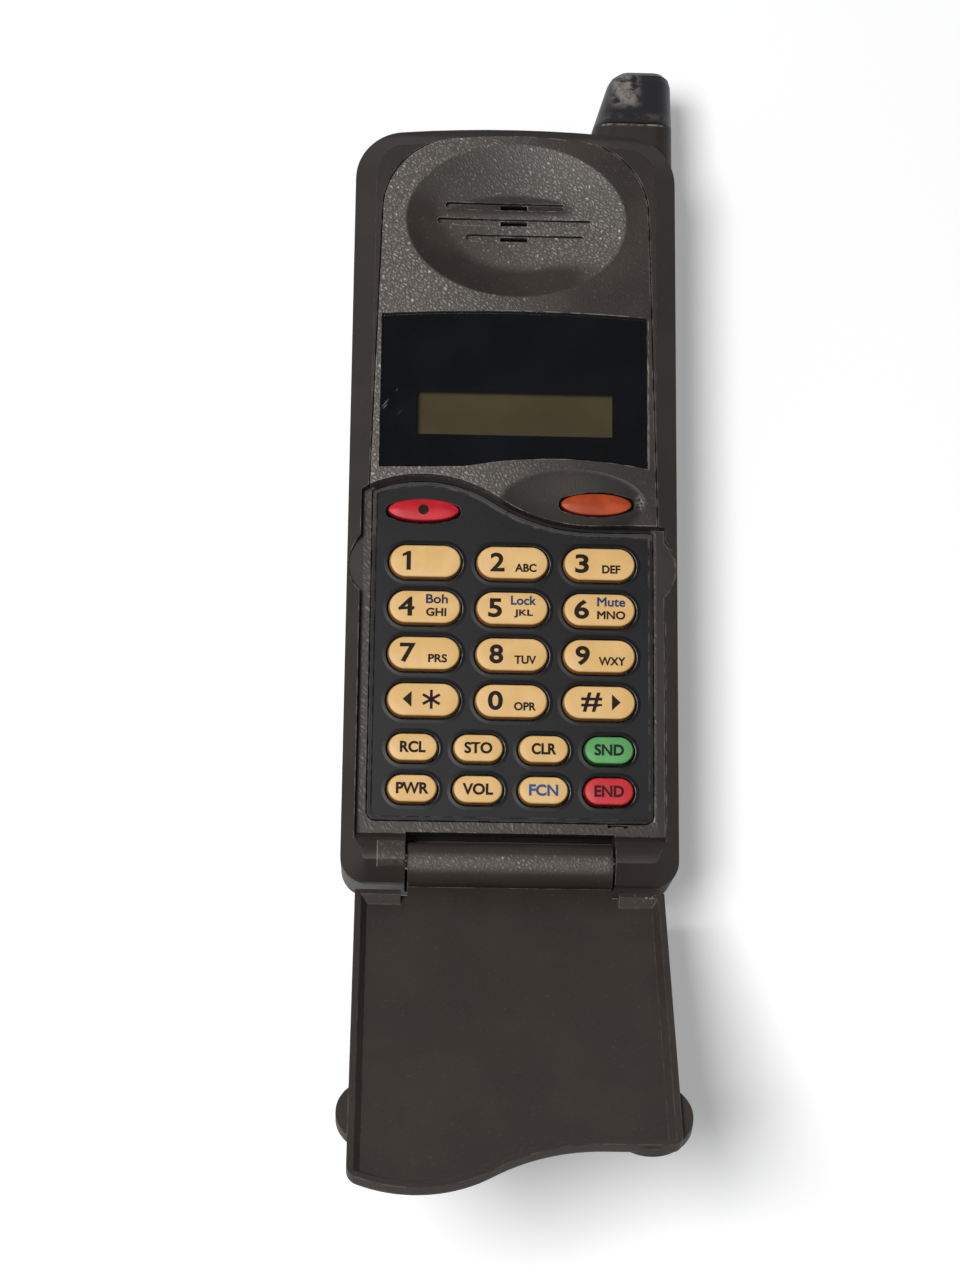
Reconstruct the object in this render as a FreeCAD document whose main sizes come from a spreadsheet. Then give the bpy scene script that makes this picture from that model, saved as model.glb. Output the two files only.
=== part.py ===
import FreeCAD, Part
import math
import os
import re
import Sketcher
from FreeCAD import Placement, Rotation, Vector

# Flip phone of the slide-on battery kind, in millimetres.
# The origin is the centre of the battery's flat back. +Z points out of the key face, +Y to the antenna.
# The flip stands open at its stop, the antenna is pushed in and the battery is latched on.

doc = FreeCAD.newDocument("flip_phone")

# Driving sizes
# Places along the phone are counted from the hinge axis, heights from the battery's back.

SIZES = [
    ("body_width", 60.0, "outer width of the housings"),
    ("body_length", 144.1, "hinge end to the crown of the top edge"),
    ("top_crown", 1.9, "rise of the curved top edge over the width"),
    ("top_corner", 9.5, "corner radius at the antenna end"),
    ("foot_corner", 4.8, "corner radius at the hinge end"),
    ("face_level", 26.0, "height of the face"),
    ("bevel_width", 3.9, "bevel round the face, across"),
    ("bevel_depth", 3.0, "bevel round the face, down"),
    ("parting_level", 14.0, "height of the joint of the two housings"),
    ("shell_wall", 1.6, "wall of the housings"),
    ("hinge_place", -48.0, "hinge axis from the origin, along Y"),
    ("knuckle_radius", 4.3, "hinge knuckles, and the housing's foot"),
    ("knuckle_head", 4.75, "where the knuckles meet the floor of the recess"),
    ("barrel_radius", 3.9, "hinge barrel"),
    ("barrel_lead", 0.4, "barrel ahead of the hinge axis, towards the flip"),
    ("barrel_half", 18.1, "half the length of the hinge barrel"),
    ("barrel_gap", 0.45, "gap at each end of the barrel"),
    ("slot_head", 5.0, "upper edge of the barrel's slot"),
    ("slot_wall", 1.1, "wall between the slot and the cavity"),
    ("recess_depth", 3.0, "recess that takes the closed flip"),
    ("recess_half", 27.6, "half the width of the recess"),
    ("deck_thickness", 2.2, "plate under the keypad and the face panel"),
    ("wave_crest_x", -16.3, "crest of the wave line, across"),
    ("wave_crest_y", 70.55, "crest of the wave line"),
    ("wave_flat_y", 61.4, "flat right end of the wave line"),
    ("wave_crest_radius", 24.0, "radius at the crest"),
    ("wave_angle", 33.0, "steepest slope of the wave, degrees"),
    ("panel_foot_half", 26.1, "half width of the face panel at the wave"),
    ("panel_top_half", 24.7, "half width of the face panel at its shoulders"),
    ("panel_shoulder", 121.9, "where the panel's top corners start"),
    ("panel_corner", 14.7, "corner radius of the panel"),
    ("panel_crown", 0.6, "rise of the panel's top edge"),
    ("seat_gap", 0.1, "gap under a seated cover"),
    ("seam_gap", 0.2, "gap round a seated cover"),
    ("lens_half", 24.4, "half the width of the display lens"),
    ("lens_foot", 71.9, "foot of the lens at its left"),
    ("lens_foot_right", 72.4, "foot of the lens at its right"),
    ("lens_bend_x", -9.0, "where the lens foot starts to curve"),
    ("lens_bend_rise", 0.4, "rise of the lens foot up to the bend"),
    ("lens_foot_radius", 84.0, "radius of the lens foot"),
    ("lens_head", 101.2, "top of the lens at its sides"),
    ("lens_head_radius", 330.0, "radius of the lens top"),
    ("lens_thickness", 1.2, "display lens"),
    ("screen_half", 19.8, "half the width of the display module"),
    ("screen_foot", 76.4, "foot of the display module"),
    ("screen_head", 89.6, "head of the display module"),
    ("screen_gap", 0.2, "gap round the display module"),
    ("backlight_height", 2.0, "backlight under the display"),
    ("window_half", 19.0, "half the width of the display opening"),
    ("window_foot", 77.6, "foot of the display opening"),
    ("window_head", 87.4, "head of the display opening"),
    ("ear_place", 120.3, "centre of the earpiece dish"),
    ("ear_half_width", 20.5, "earpiece dish, across"),
    ("ear_half_height", 15.2, "earpiece dish, along"),
    ("ear_depth", 1.5, "earpiece dish, down"),
    ("ear_bulge", 4.0, "how far the dish's ellipsoid goes below its widest part, in dish depths"),
    ("groove_width", 1.3, "earpiece groove"),
    ("groove_depth", 0.45, "earpiece groove"),
    ("groove_pitch", 3.15, "earpiece grooves, one to the next"),
    ("sound_hole_x", -0.3, "earpiece hole, across"),
    ("sound_hole_length", 5.0, "earpiece hole"),
    ("sound_hole_width", 0.9, "earpiece hole"),
    ("thumb_x", 10.7, "thumb dish, across"),
    ("thumb_y", 65.4, "thumb dish"),
    ("thumb_half_width", 13.4, "thumb dish"),
    ("thumb_half_height", 6.5, "thumb dish"),
    ("thumb_depth", 1.1, "thumb dish"),
    ("bezel_half", 25.5, "half the width of the keypad bezel"),
    ("bezel_foot", 7.1, "foot of the bezel"),
    ("bezel_corner", 1.6, "lower corners of the bezel"),
    ("bezel_gap", 0.7, "bezel from the wave line"),
    ("bezel_thickness", 1.0, "bezel plate"),
    ("bezel_lip", 0.3, "raised line round the bezel"),
    ("lip_width", 0.7, "raised line round the bezel"),
    ("ledge_width", 1.5, "ledge that carries the bezel"),
    ("ledge_thickness", 1.0, "ledge that carries the bezel"),
    ("opening_play", 0.5, "openings of the deck round what stands in them"),
    ("opening_corner", 0.6, "corners of the openings"),
    ("wide_key_length", 13.1, "number keys"),
    ("wide_key_height", 6.3, "number keys"),
    ("wide_pitch", 15.79, "number keys, across"),
    ("number_row", 54.67, "top row of the number keys"),
    ("row_pitch", 8.577, "number keys, row to row"),
    ("small_key_length", 9.0, "function keys"),
    ("small_key_height", 5.2, "function keys"),
    ("small_pitch", 11.68, "function keys, across"),
    ("function_row", 20.24, "upper row of the function keys"),
    ("function_pitch", 7.49, "function keys, row to row"),
    ("key_top", 24.0, "height of the key tops"),
    ("key_edge", 0.75, "rounding of the key tops"),
    ("key_gap", 0.25, "gap round each key"),
    ("flange_reach", 0.7, "key flange beyond the key"),
    ("flange_thickness", 0.7, "key flange"),
    ("flange_play", 0.05, "key flange below what holds it"),
    ("key_travel", 0.8, "stroke of a key"),
    ("plunger_radius", 1.2, "contact stem of a key"),
    ("stem_clearance", 0.2, "key stem above the board when pressed"),
    ("oval_length", 13.2, "oval buttons"),
    ("oval_height", 4.2, "oval buttons"),
    ("oval_tip", 0.5, "depth of an oval's rounded tip"),
    ("oval_tip_half", 0.9, "half the height of an oval's tip"),
    ("red_oval_x", -16.3, "red oval button, across"),
    ("red_oval_y", 64.3, "red oval button"),
    ("red_oval_top", 24.2, "red oval button, height"),
    ("orange_oval_x", 15.1, "orange oval button, across"),
    ("orange_oval_y", 65.5, "orange oval button"),
    ("orange_oval_top", 25.7, "orange oval button, height"),
    ("flip_half", 27.27, "half the width of the flip"),
    ("flip_start", 5.5, "hinge-side edge of the flip"),
    ("flip_gap", 0.6, "flip tip from the wave line"),
    ("flip_clearance", 0.2, "closed flip above the recess floor"),
    ("flip_plate", 1.3, "plate of the flip"),
    ("flip_rim", 1.1, "top of the flip's rim"),
    ("rim_slope", 1.1, "slope inside the flip's rim"),
    ("flip_round", 1.2, "outer edges of the flip"),
    ("flip_left_corner", 2.6, "left tip corner of the flip"),
    ("flip_right_corner", 2.0, "right tip corner of the flip"),
    ("tray_mouth", 1.1, "where the hinge-side rim ends, beyond the barrel's end"),
    ("open_angle", 146.1, "flip from closed to its stop, degrees"),
    ("grip_place", 54.0, "grip ears of the flip"),
    ("grip_x", 22.2, "centre of the grip ears"),
    ("grip_radius", 7.1, "grip ears"),
    ("grip_thickness", 1.8, "grip ears"),
    ("grip_gap", 0.4, "notch round a grip ear"),
    ("shaft_radius", 1.5, "hinge shaft"),
    ("shaft_half", 26.0, "half the length of the hinge shaft"),
    ("running_gap", 0.06, "running clearance on a shaft"),
    ("washer_radius", 2.8, "friction washers"),
    ("washer_thickness", 0.6, "friction washers"),
    ("washer_count", 4, "friction washers"),
    ("cam_length", 3.2, "hinge cam"),
    ("magnet_radius", 0.75, "flip magnet"),
    ("magnet_length", 6.0, "flip magnet"),
    ("magnet_x", 26.2, "flip magnet, across"),
    ("whip_radius", 0.8, "antenna whip"),
    ("whip_x", 25.4, "antenna whip, across"),
    ("whip_level", 13.4, "antenna whip, height"),
    ("whip_travel", 93.8, "stroke of the antenna"),
    ("whip_stop_gap", 0.2, "bead short of the bush when the antenna is out"),
    ("stopper_radius", 1.15, "bead at the whip's end"),
    ("stopper_length", 2.0, "bead at the whip's end"),
    ("tube_wall", 0.35, "guide tube"),
    ("tube_gap", 0.08, "bead in the guide tube"),
    ("bush_radius", 2.2, "antenna contact bush"),
    ("bush_foot", 134.0, "antenna contact bush"),
    ("bush_inset", 0.3, "bush below the top of the tower"),
    ("bore_lead", 3.0, "bush bore beyond the bush, inside"),
    ("tower_left", 14.0, "left edge of the antenna tower at its foot"),
    ("tower_foot", 140.0, "foot of the tower's slanted edge"),
    ("tower_head", 142.9, "top of the antenna tower"),
    ("tower_sink", 7.0, "how far the tower reaches into the housing"),
    ("tower_low", 5.0, "back of the tower"),
    ("tower_high", 20.5, "front of the tower"),
    ("tower_round", 3.6, "rounding along the tower"),
    ("cap_head", 155.3, "top of the antenna cap"),
    ("cap_left", 18.6, "left edge of the cap's top"),
    ("cap_taper", 1.9, "how much the cap gets thinner at its back and front"),
    ("cap_round", 2.6, "rounding of the cap's top"),
    ("cap_gap", 0.1, "gap between cap and tower"),
    ("cap_socket", 8.0, "depth of the whip in the cap"),
    ("board_left", -27.2, "left edge of the boards"),
    ("board_right", 23.0, "right edge of the boards"),
    ("board_foot", 6.4, "lower edge of the logic board"),
    ("board_head", 134.0, "upper edge of the boards"),
    ("board_top", 18.0, "upper face of the logic board"),
    ("board_thickness", 1.2, "circuit boards"),
    ("radio_board_foot", 18.0, "lower edge of the radio board"),
    ("radio_board_low", 12.2, "lower face of the radio board"),
    ("board_corner", 6.0, "corners of the boards"),
    ("boss_gap", 0.3, "boards round the screw bosses"),
    ("post_left", -20.0, "posts under the radio board, across"),
    ("post_right", 18.0, "posts under the radio board, across"),
    ("post_foot", 24.0, "lower posts under the radio board"),
    ("post_head", 80.0, "upper posts under the radio board"),
    ("post_width", 2.0, "posts under the radio board, across"),
    ("post_length", 4.0, "posts under the radio board, along"),
    ("chip_height", 1.6, "chips on the logic board"),
    ("can_left", -24.0, "left side of the shield can"),
    ("can_right", 20.0, "right side of the shield can"),
    ("can_foot", 26.0, "foot of the shield can"),
    ("can_head", 86.0, "head of the shield can"),
    ("can_wall", 0.3, "wall of the shield can"),
    ("duplexer_left", -5.0, "left side of the duplexer"),
    ("duplexer_right", 20.0, "right side of the duplexer"),
    ("duplexer_foot", 104.0, "foot of the duplexer"),
    ("duplexer_head", 132.0, "head of the duplexer"),
    ("duplexer_low", 6.0, "back of the duplexer"),
    ("link_half", 12.0, "half the length of the board connector"),
    ("link_foot", 98.0, "board connector, along the phone"),
    ("link_width", 4.0, "board connector"),
    ("reed_x", -24.3, "reed switch, across"),
    ("reed_foot", 16.0, "reed switch, along the phone"),
    ("reed_radius", 1.0, "reed switch"),
    ("reed_length", 12.0, "reed switch"),
    ("membrane_thickness", 1.0, "rubber keypad membrane"),
    ("dome_radius", 2.3, "domes of the membrane"),
    ("dome_top", 20.05, "height of the domes"),
    ("dome_gap", 0.25, "key stem in its dome"),
    ("membrane_half", 22.8, "half the width of the membrane"),
    ("membrane_foot_edge", 1.35, "membrane beyond the lowest keys"),
    ("membrane_head_edge", 0.85, "membrane beyond the highest keys"),
    ("boss_radius", 2.4, "screw bosses"),
    ("screw_radius", 0.9, "screw shanks"),
    ("screw_head_radius", 1.9, "screw heads"),
    ("screw_head_height", 1.2, "screw heads"),
    ("screw_length", 8.4, "screw shanks"),
    ("screw_gap", 0.1, "gap round and over a screw head"),
    ("screw_lead", 0.2, "screw hole beyond the screw's end"),
    ("screw_slot_length", 2.8, "slot in a screw head"),
    ("screw_slot_width", 0.5, "slot in a screw head"),
    ("screw_slot_depth", 0.6, "slot in a screw head"),
    ("lower_screw_x", 26.2, "lower screws, across"),
    ("lower_screw_y", 12.0, "lower screws"),
    ("upper_screw_x", 20.4, "upper screws, across"),
    ("upper_screw_y", 95.0, "upper screws"),
    ("back_floor", 10.3, "underside of the housing over the battery"),
    ("floor_thickness", 1.5, "floor of the rear housing"),
    ("bay_head", 98.6, "end of the battery bay"),
    ("skirt_low", 8.2, "lower edge of the battery skirts"),
    ("skirt_wall", 1.6, "battery skirts"),
    ("hook_reach", 1.2, "hook of the battery skirts"),
    ("hook_height", 0.8, "hook of the battery skirts"),
    ("battery_gap", 0.2, "gap round the battery"),
    ("battery_foot", -2.0, "lower end of the battery"),
    ("battery_split", 3.0, "joint of the battery's case and cover"),
    ("battery_corner", 3.0, "corners of the battery"),
    ("battery_round", 2.4, "rounding of the battery's back edges"),
    ("battery_wall", 1.4, "wall of the battery"),
    ("cell_count", 5, "cells in the battery"),
    ("cell_width", 16.6, "cells, along the phone"),
    ("cell_length", 48.0, "cells, across the phone"),
    ("cell_height", 6.0, "cells"),
    ("cell_pitch", 16.9, "cells, one to the next"),
    ("contact_count", 3, "battery contacts"),
    ("contact_pitch", 5.0, "battery contacts"),
    ("contact_size", 3.0, "battery contacts"),
    ("contact_depth", 0.3, "battery contacts"),
    ("contact_place", 82.0, "battery contacts, along the phone"),
    ("contact_length", 6.0, "battery contacts, along the phone"),
    ("contact_slot", 8.0, "openings in the bay's roof for the contact springs"),
    ("spring_leaf", 0.3, "thickness of a contact spring"),
    ("spring_width", 1.8, "width of a contact spring"),
    ("spring_lift", 0.1, "contact springs over the battery contacts"),
    ("latch_half", 6.5, "half the width of the battery latch"),
    ("latch_foot", 88.4, "lower edge of the latch"),
    ("latch_thickness", 1.6, "battery latch"),
    ("latch_inset", 0.5, "latch below the battery's back"),
    ("latch_tongue_half", 3.0, "half the width of the latch's tongue"),
    ("latch_travel", 2.0, "stroke of the latch"),
    ("latch_play", 0.1, "latch in its bed, and its spring in its bore"),
    ("rib_count", 4, "finger grooves of the latch"),
    ("rib_start", 1.6, "first finger groove from the latch's foot"),
    ("rib_pitch", 1.7, "finger grooves of the latch"),
    ("rib_width", 0.8, "finger grooves of the latch"),
    ("rib_depth", 0.25, "finger grooves of the latch"),
    ("rib_end", 1.0, "finger grooves short of the latch's sides"),
    ("spring_radius", 0.55, "latch spring"),
    ("spring_seat", 2.4, "how far the spring reaches into the latch"),
    ("tongue_reach", 1.2, "tongue beyond the end of the bay"),
    ("speaker_radius", 8.8, "earpiece speaker"),
    ("speaker_height", 4.1, "earpiece speaker"),
    ("speaker_rim", 2.0, "rim of the earpiece speaker, and its gasket"),
    ("speaker_recess", 0.6, "cone of the earpiece speaker below its rim"),
    ("ringer_x", -15.0, "ringer, across"),
    ("ringer_y", 117.0, "ringer"),
    ("ringer_radius", 7.5, "ringer"),
    ("ringer_height", 3.5, "ringer"),
    ("vent_length", 8.0, "slots in the back over the ringer"),
    ("vent_width", 1.0, "slots in the back over the ringer"),
    ("vent_pitch", 3.0, "slots in the back, one to the next"),
    ("mic_x", 19.1, "microphone, across"),
    ("mic_y", 8.45, "microphone"),
    ("mic_radius", 1.95, "microphone"),
    ("mic_height", 1.7, "microphone"),
    ("mic_gap", 0.1, "gap from the microphone to the membrane"),
    ("mic_slot_length", 3.6, "slot over the microphone"),
    ("mic_slot_width", 0.6, "slot over the microphone"),
    ("coax_x", -20.0, "antenna socket, across"),
    ("coax_y", 130.5, "antenna socket"),
    ("coax_bore", 1.6, "bore of the antenna socket"),
    ("coax_radius", 2.8, "outside of the antenna socket"),
    ("coax_depth", 5.0, "bore of the antenna socket"),
    ("coax_end", 1.0, "closed end of the antenna socket"),
    ("coax_inset", 0.5, "antenna socket below the back"),
    ("port_half", 13.0, "half the width of the accessory connector"),
    ("port_low", 11.2, "underside of the accessory connector"),
    ("port_high", 13.4, "top of the accessory connector"),
    ("port_inset", 0.6, "accessory connector inside the end wall"),
    ("port_contacts", 8, "contacts of the accessory connector"),
    ("port_pitch", 2.6, "contacts of the accessory connector"),
    ("port_slot_width", 1.0, "slots of the accessory connector"),
    ("port_slot_depth", 3.0, "slots of the accessory connector"),
    ("port_skin", 0.5, "above and below the slots of the accessory connector"),
]

sheet = doc.addObject("Spreadsheet::Sheet", "sizes")
for row, (alias, number, meaning) in enumerate(SIZES, 1):
    sheet.set(f"A{row}", meaning)
    sheet.set(f"B{row}", str(number))
    sheet.setAlias(f"B{row}", alias)
doc.recompute()

ALIASES = {alias for alias, number, meaning in SIZES}
WORD = re.compile(r"[a-z][a-z_]*")
TOUCH = 0.01


def bound(formula):
    """The formula with the name of each driving size turned into its cell."""

    def cell(word):
        name = word.group()
        return f"sizes.{name}" if name in ALIASES else name

    return WORD.sub(cell, str(formula))


def value(formula):
    """What the formula comes to with the sizes as they are."""
    return float(sheet.evalExpression(bound(formula)))


def tie(item, name, formula):
    item.setExpression(name, bound(formula))


# Places that several pieces share

HALF = "(body_width / 2)"
FOOT = "(hinge_place - knuckle_radius)"
CROWN = "(hinge_place - knuckle_radius + body_length)"
HINGE_LEVEL = "(face_level - knuckle_radius)"
DECK = "(face_level - recess_depth)"
DECK_UNDER = "(face_level - recess_depth - deck_thickness)"
LEDGE = f"({DECK_UNDER} + ledge_thickness)"
BEZEL_TOP = f"({LEDGE} + bezel_thickness)"
BEVEL_LEVEL = "(face_level - bevel_depth)"
CAVITY_FOOT = "(hinge_place + slot_head + slot_wall)"
FLOOR_TOP = "(back_floor + floor_thickness)"
BOARD_LOW = "(board_top - board_thickness)"
RADIO_TOP = "(radio_board_low + board_thickness)"
STEM_END = "(board_top + key_travel + stem_clearance)"
SCREW_HEAD = "(back_floor + screw_gap)"
SCREW_SEAT = f"({SCREW_HEAD} + screw_head_height)"
SCREW_END = f"({SCREW_SEAT} + screw_length)"
ALONG_X = Rotation(Vector(0, 1, 0), 90)
ALONG_Y = Rotation(Vector(1, 0, 0), -90)
ALONG_Z = Rotation()


def along(place):
    """A place counted from the hinge axis, in the phone's own frame."""
    return f"(hinge_place + {place})"


# Building steps that the pieces share


def new_body(label):
    made = doc.addObject("PartDesign::Body", label)
    made.Label = label
    return made


def plane_of(body, role):
    return next(item for item in body.Origin.OriginFeatures if item.Role == role)


def new_sketch(body, level, role="XY_Plane"):
    made = body.newObject("Sketcher::SketchObject", f"{body.Name}_sketch")
    made.AttachmentSupport = [(plane_of(body, role), "")]
    made.MapMode = "FlatFace"
    tie(made, "AttachmentOffset.Base.z", level)
    return made


def fix_point(sketch, shape, corner, x, y):
    """Holds a point of the sketch at two formulas."""
    for kind, formula in (("DistanceX", x), ("DistanceY", y)):
        number = sketch.addConstraint(
            Sketcher.Constraint(kind, -1, 1, shape, corner, value(formula))
        )
        tie(sketch, f"Constraints[{number}]", formula)


def draw(sketch, path):
    """Draws a closed path. A corner is (x, y), or (x, y, radius, side) where an arc starts."""
    points = [Vector(value(step[0]), value(step[1]), 0) for step in path]
    shapes = []
    for number, step in enumerate(path):
        start, end = points[number], points[(number + 1) % len(path)]
        if len(step) == 2:
            shapes.append(sketch.addGeometry(Part.LineSegment(start, end)))
            continue
        radius = value(step[2])
        chord = end - start
        across = Vector(-chord.y, chord.x, 0).normalize()
        turn = 1 if step[3] == "left" else -1
        rise = radius - math.sqrt(max(radius**2 - (chord.Length / 2) ** 2, 0))
        middle = (start + end) / 2 - across * turn * rise
        shapes.append(sketch.addGeometry(Part.Arc(start, middle, end)))
    for number, step in enumerate(path):
        shape, before = shapes[number], shapes[number - 1]
        first = 1 if len(step) == 2 or step[3] == "left" else 2
        last = 2 if len(path[number - 1]) == 2 or path[number - 1][3] == "left" else 1
        sketch.addConstraint(Sketcher.Constraint("Coincident", before, last, shape, first))
        fix_point(sketch, shape, first, step[0], step[1])
    for number, step in enumerate(path):
        if len(step) > 2:
            held = sketch.addConstraint(Sketcher.Constraint("Radius", shapes[number], value(step[2])))
            tie(sketch, f"Constraints[{held}]", step[2])


def draw_circle(sketch, x, y, radius):
    circle = Part.Circle(Vector(value(x), value(y), 0), Vector(0, 0, 1), value(radius))
    shape = sketch.addGeometry(circle)
    fix_point(sketch, shape, 3, x, y)
    held = sketch.addConstraint(Sketcher.Constraint("Radius", shape, value(radius)))
    tie(sketch, f"Constraints[{held}]", radius)


def draw_stadium(sketch, x, y, length, height):
    """Draws a slot with half-round ends, each held by its centre and radius."""
    radius = f"({height} / 2)"
    reach = f"({length} / 2 - {radius})"
    middle, r = Vector(value(x), value(y), 0), value(radius)
    ends = []
    for turn in (1, -1):
        centre = middle + Vector(turn * value(reach), 0, 0)
        low, far, high = Vector(0, -turn * r, 0), Vector(turn * r, 0, 0), Vector(0, turn * r, 0)
        shape = sketch.addGeometry(Part.Arc(centre + low, centre + far, centre + high))
        ends.append(shape)
        place = f"{x} + {turn} * {reach}"
        fix_point(sketch, shape, 3, place, y)
        held = sketch.addConstraint(Sketcher.Constraint("Radius", shape, r))
        tie(sketch, f"Constraints[{held}]", radius)
        for corner in (1, 2):
            aligned = Sketcher.Constraint("DistanceX", -1, 1, shape, corner, value(place))
            tie(sketch, f"Constraints[{sketch.addConstraint(aligned)}]", place)
    for first, second in ((0, 1), (1, 0)):
        line = sketch.addGeometry(
            Part.LineSegment(sketch.getPoint(ends[first], 2), sketch.getPoint(ends[second], 1))
        )
        sketch.addConstraint(Sketcher.Constraint("Coincident", ends[first], 2, line, 1))
        sketch.addConstraint(Sketcher.Constraint("Coincident", ends[second], 1, line, 2))


def prism(body, low, high, *paths, cut=False):
    """Adds or cuts closed paths between two heights. Three formulas are a circle, four a slot."""
    sketch = new_sketch(body, high if cut else low)
    for path in paths:
        if not isinstance(path[0], str):
            draw(sketch, path)
        elif len(path) == 3:
            draw_circle(sketch, *path)
        else:
            draw_stadium(sketch, *path)
    kind = "PartDesign::Pocket" if cut else "PartDesign::Pad"
    made = body.newObject(kind, f"{body.Name}_{'cut' if cut else 'pad'}")
    made.Profile = sketch
    made.Refine = False
    tie(made, "Length", f"({high}) - ({low})")
    sketch.Visibility = False
    return made


def cut_across(body, half, path):
    """Cuts a closed path that is drawn looking along X, as far as half to both sides."""
    sketch = new_sketch(body, half, "YZ_Plane")
    draw(sketch, path)
    made = body.newObject("PartDesign::Pocket", f"{body.Name}_cut")
    made.Profile = sketch
    made.Refine = False
    tie(made, "Length", f"2 * ({half})")
    sketch.Visibility = False


def block(body, x0, x1, y0, y1, z0, z1, cut=False):
    """Adds or cuts a box between three pairs of formulas."""
    kind = "PartDesign::SubtractiveBox" if cut else "PartDesign::AdditiveBox"
    made = body.newObject(kind, f"{body.Name}_block")
    made.Refine = False
    for side, (low, high) in {"Length": (x0, x1), "Width": (y0, y1), "Height": (z0, z1)}.items():
        tie(made, side, f"({high}) - ({low})")
    for axis, low in zip("xyz", (x0, y0, z0)):
        tie(made, f"Placement.Base.{axis}", low)
    return made


def rod(body, turn, x, y, z, radius, length, cut=False):
    """Adds or cuts a cylinder that starts at a point and runs along one axis."""
    kind = "PartDesign::SubtractiveCylinder" if cut else "PartDesign::AdditiveCylinder"
    made = body.newObject(kind, f"{body.Name}_rod")
    made.Refine = False
    made.Placement = Placement(Vector(), turn)
    tie(made, "Radius", radius)
    tie(made, "Height", length)
    for axis, place in zip("xyz", (x, y, z)):
        tie(made, f"Placement.Base.{axis}", place)
    return made


def round_edges(body, radius, chosen, kind="PartDesign::Fillet"):
    """Rounds or bevels the edges of the body's shape that the test picks."""
    doc.recompute()
    base = body.Tip
    names = [f"Edge{number}" for number, edge in enumerate(base.Shape.Edges, 1) if chosen(edge)]
    made = body.newObject(kind, f"{body.Name}_edges")
    made.Base = (base, names)
    tie(made, "Radius" if kind == "PartDesign::Fillet" else "Size", radius)
    return made


def at_level(edge, level):
    box = edge.BoundBox
    return abs(box.ZMin - level) < TOUCH and abs(box.ZMax - level) < TOUCH


def upright(edge):
    box = edge.BoundBox
    return box.XLength < TOUCH and box.YLength < TOUCH and box.ZLength > TOUCH


# Outlines that several pieces follow


def rectangle(x0, x1, y0, y1):
    return [(x0, y0), (x1, y0), (x1, y1), (x0, y1)]


def rounded(x0, x1, y0, y1, radius):
    r = radius
    return [
        (f"{x0} + {r}", y0),
        (f"{x1} - {r}", y0, r, "left"),
        (x1, f"{y0} + {r}"),
        (x1, f"{y1} - {r}", r, "left"),
        (f"{x1} - {r}", y1),
        (f"{x0} + {r}", y1, r, "left"),
        (x0, f"{y1} - {r}"),
        (x0, f"{y0} + {r}", r, "left"),
    ]


def housing_outline(inset="0"):
    """Both housings from the front: square foot with round corners, gently curved top."""
    half = f"({HALF} - {inset})"
    foot = f"({FOOT} + {inset})"
    low = f"(foot_corner - {inset})"
    high = f"(top_corner - {inset})"
    sweep = f"(({HALF}^2 + top_crown^2) / (2 * top_crown))"
    arch = f"({sweep} - {inset})"
    arch_centre = f"({CROWN} - {sweep})"
    corner_y = f"({arch_centre} + sqrt(({arch} - {high})^2 - ({half} - {high})^2))"
    tangent_x = f"(({half} - {high}) * {arch} / ({arch} - {high}))"
    tangent_y = f"({arch_centre} + ({corner_y} - {arch_centre}) * {arch} / ({arch} - {high}))"
    return [
        (f"{low} - {half}", foot),
        (f"{half} - {low}", foot, low, "left"),
        (half, f"{foot} + {low}"),
        (half, corner_y, high, "left"),
        (tangent_x, tangent_y, arch, "left"),
        (f"-{tangent_x}", tangent_y, high, "left"),
        (f"-{half}", corner_y),
        (f"-{half}", f"{foot} + {low}", low, "left"),
    ]


def wave(drop, half, origin="hinge_place"):
    """The wave line from right to left, moved down by drop: three arcs' starts and the left end."""
    crest = f"(wave_crest_radius - ({drop}))"
    bend = "(1 - cos(wave_angle))"
    trough_true = f"((wave_crest_y - wave_flat_y) / {bend} - wave_crest_radius)"
    trough = f"({trough_true} + ({drop}))"
    centre_y = f"({origin} + wave_crest_y - wave_crest_radius)"
    turn_x = f"(wave_crest_x + {crest} * sin(wave_angle))"
    turn_y = f"({centre_y} + {crest} * cos(wave_angle))"
    flat_x = f"(wave_crest_x + (wave_crest_radius + {trough_true}) * sin(wave_angle))"
    flat_y = f"({origin} + wave_flat_y - ({drop}))"
    left_y = f"({centre_y} + sqrt({crest}^2 - ({half} + wave_crest_x)^2))"
    return [
        (half, flat_y),
        (flat_x, flat_y, trough, "right"),
        (turn_x, turn_y, crest, "left"),
        (f"-{half}", left_y),
    ]


def recess_outline():
    """The floor that the closed flip lies on, from the knuckles to the wave."""
    return [
        ("-recess_half", along("knuckle_head")),
        ("recess_half", along("knuckle_head")),
    ] + wave("0", "recess_half")


def panel_outline(inset="0"):
    """The face panel: wave foot, sides that draw in, wide round corners, gently curved top."""
    foot_half = f"(panel_foot_half - {inset})"
    top_half = f"(panel_top_half - {inset})"
    corner = f"(panel_corner - {inset})"
    flat_half = "(panel_top_half - panel_corner)"
    shoulder = along("panel_shoulder")
    head = f"({shoulder} + {corner})"
    arch = f"(({flat_half}^2 + panel_crown^2) / (2 * panel_crown))"
    right, flat, turn, left = wave(f"(0 - ({inset}))", foot_half)
    return [
        (left[0], left[1], turn[2], "right"),
        (turn[0], turn[1], flat[2], "left"),
        flat[:2],
        right,
        (top_half, shoulder, corner, "left"),
        (flat_half, head, arch, "left"),
        (f"-{flat_half}", head, corner, "left"),
        (f"-{top_half}", shoulder),
    ]


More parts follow.
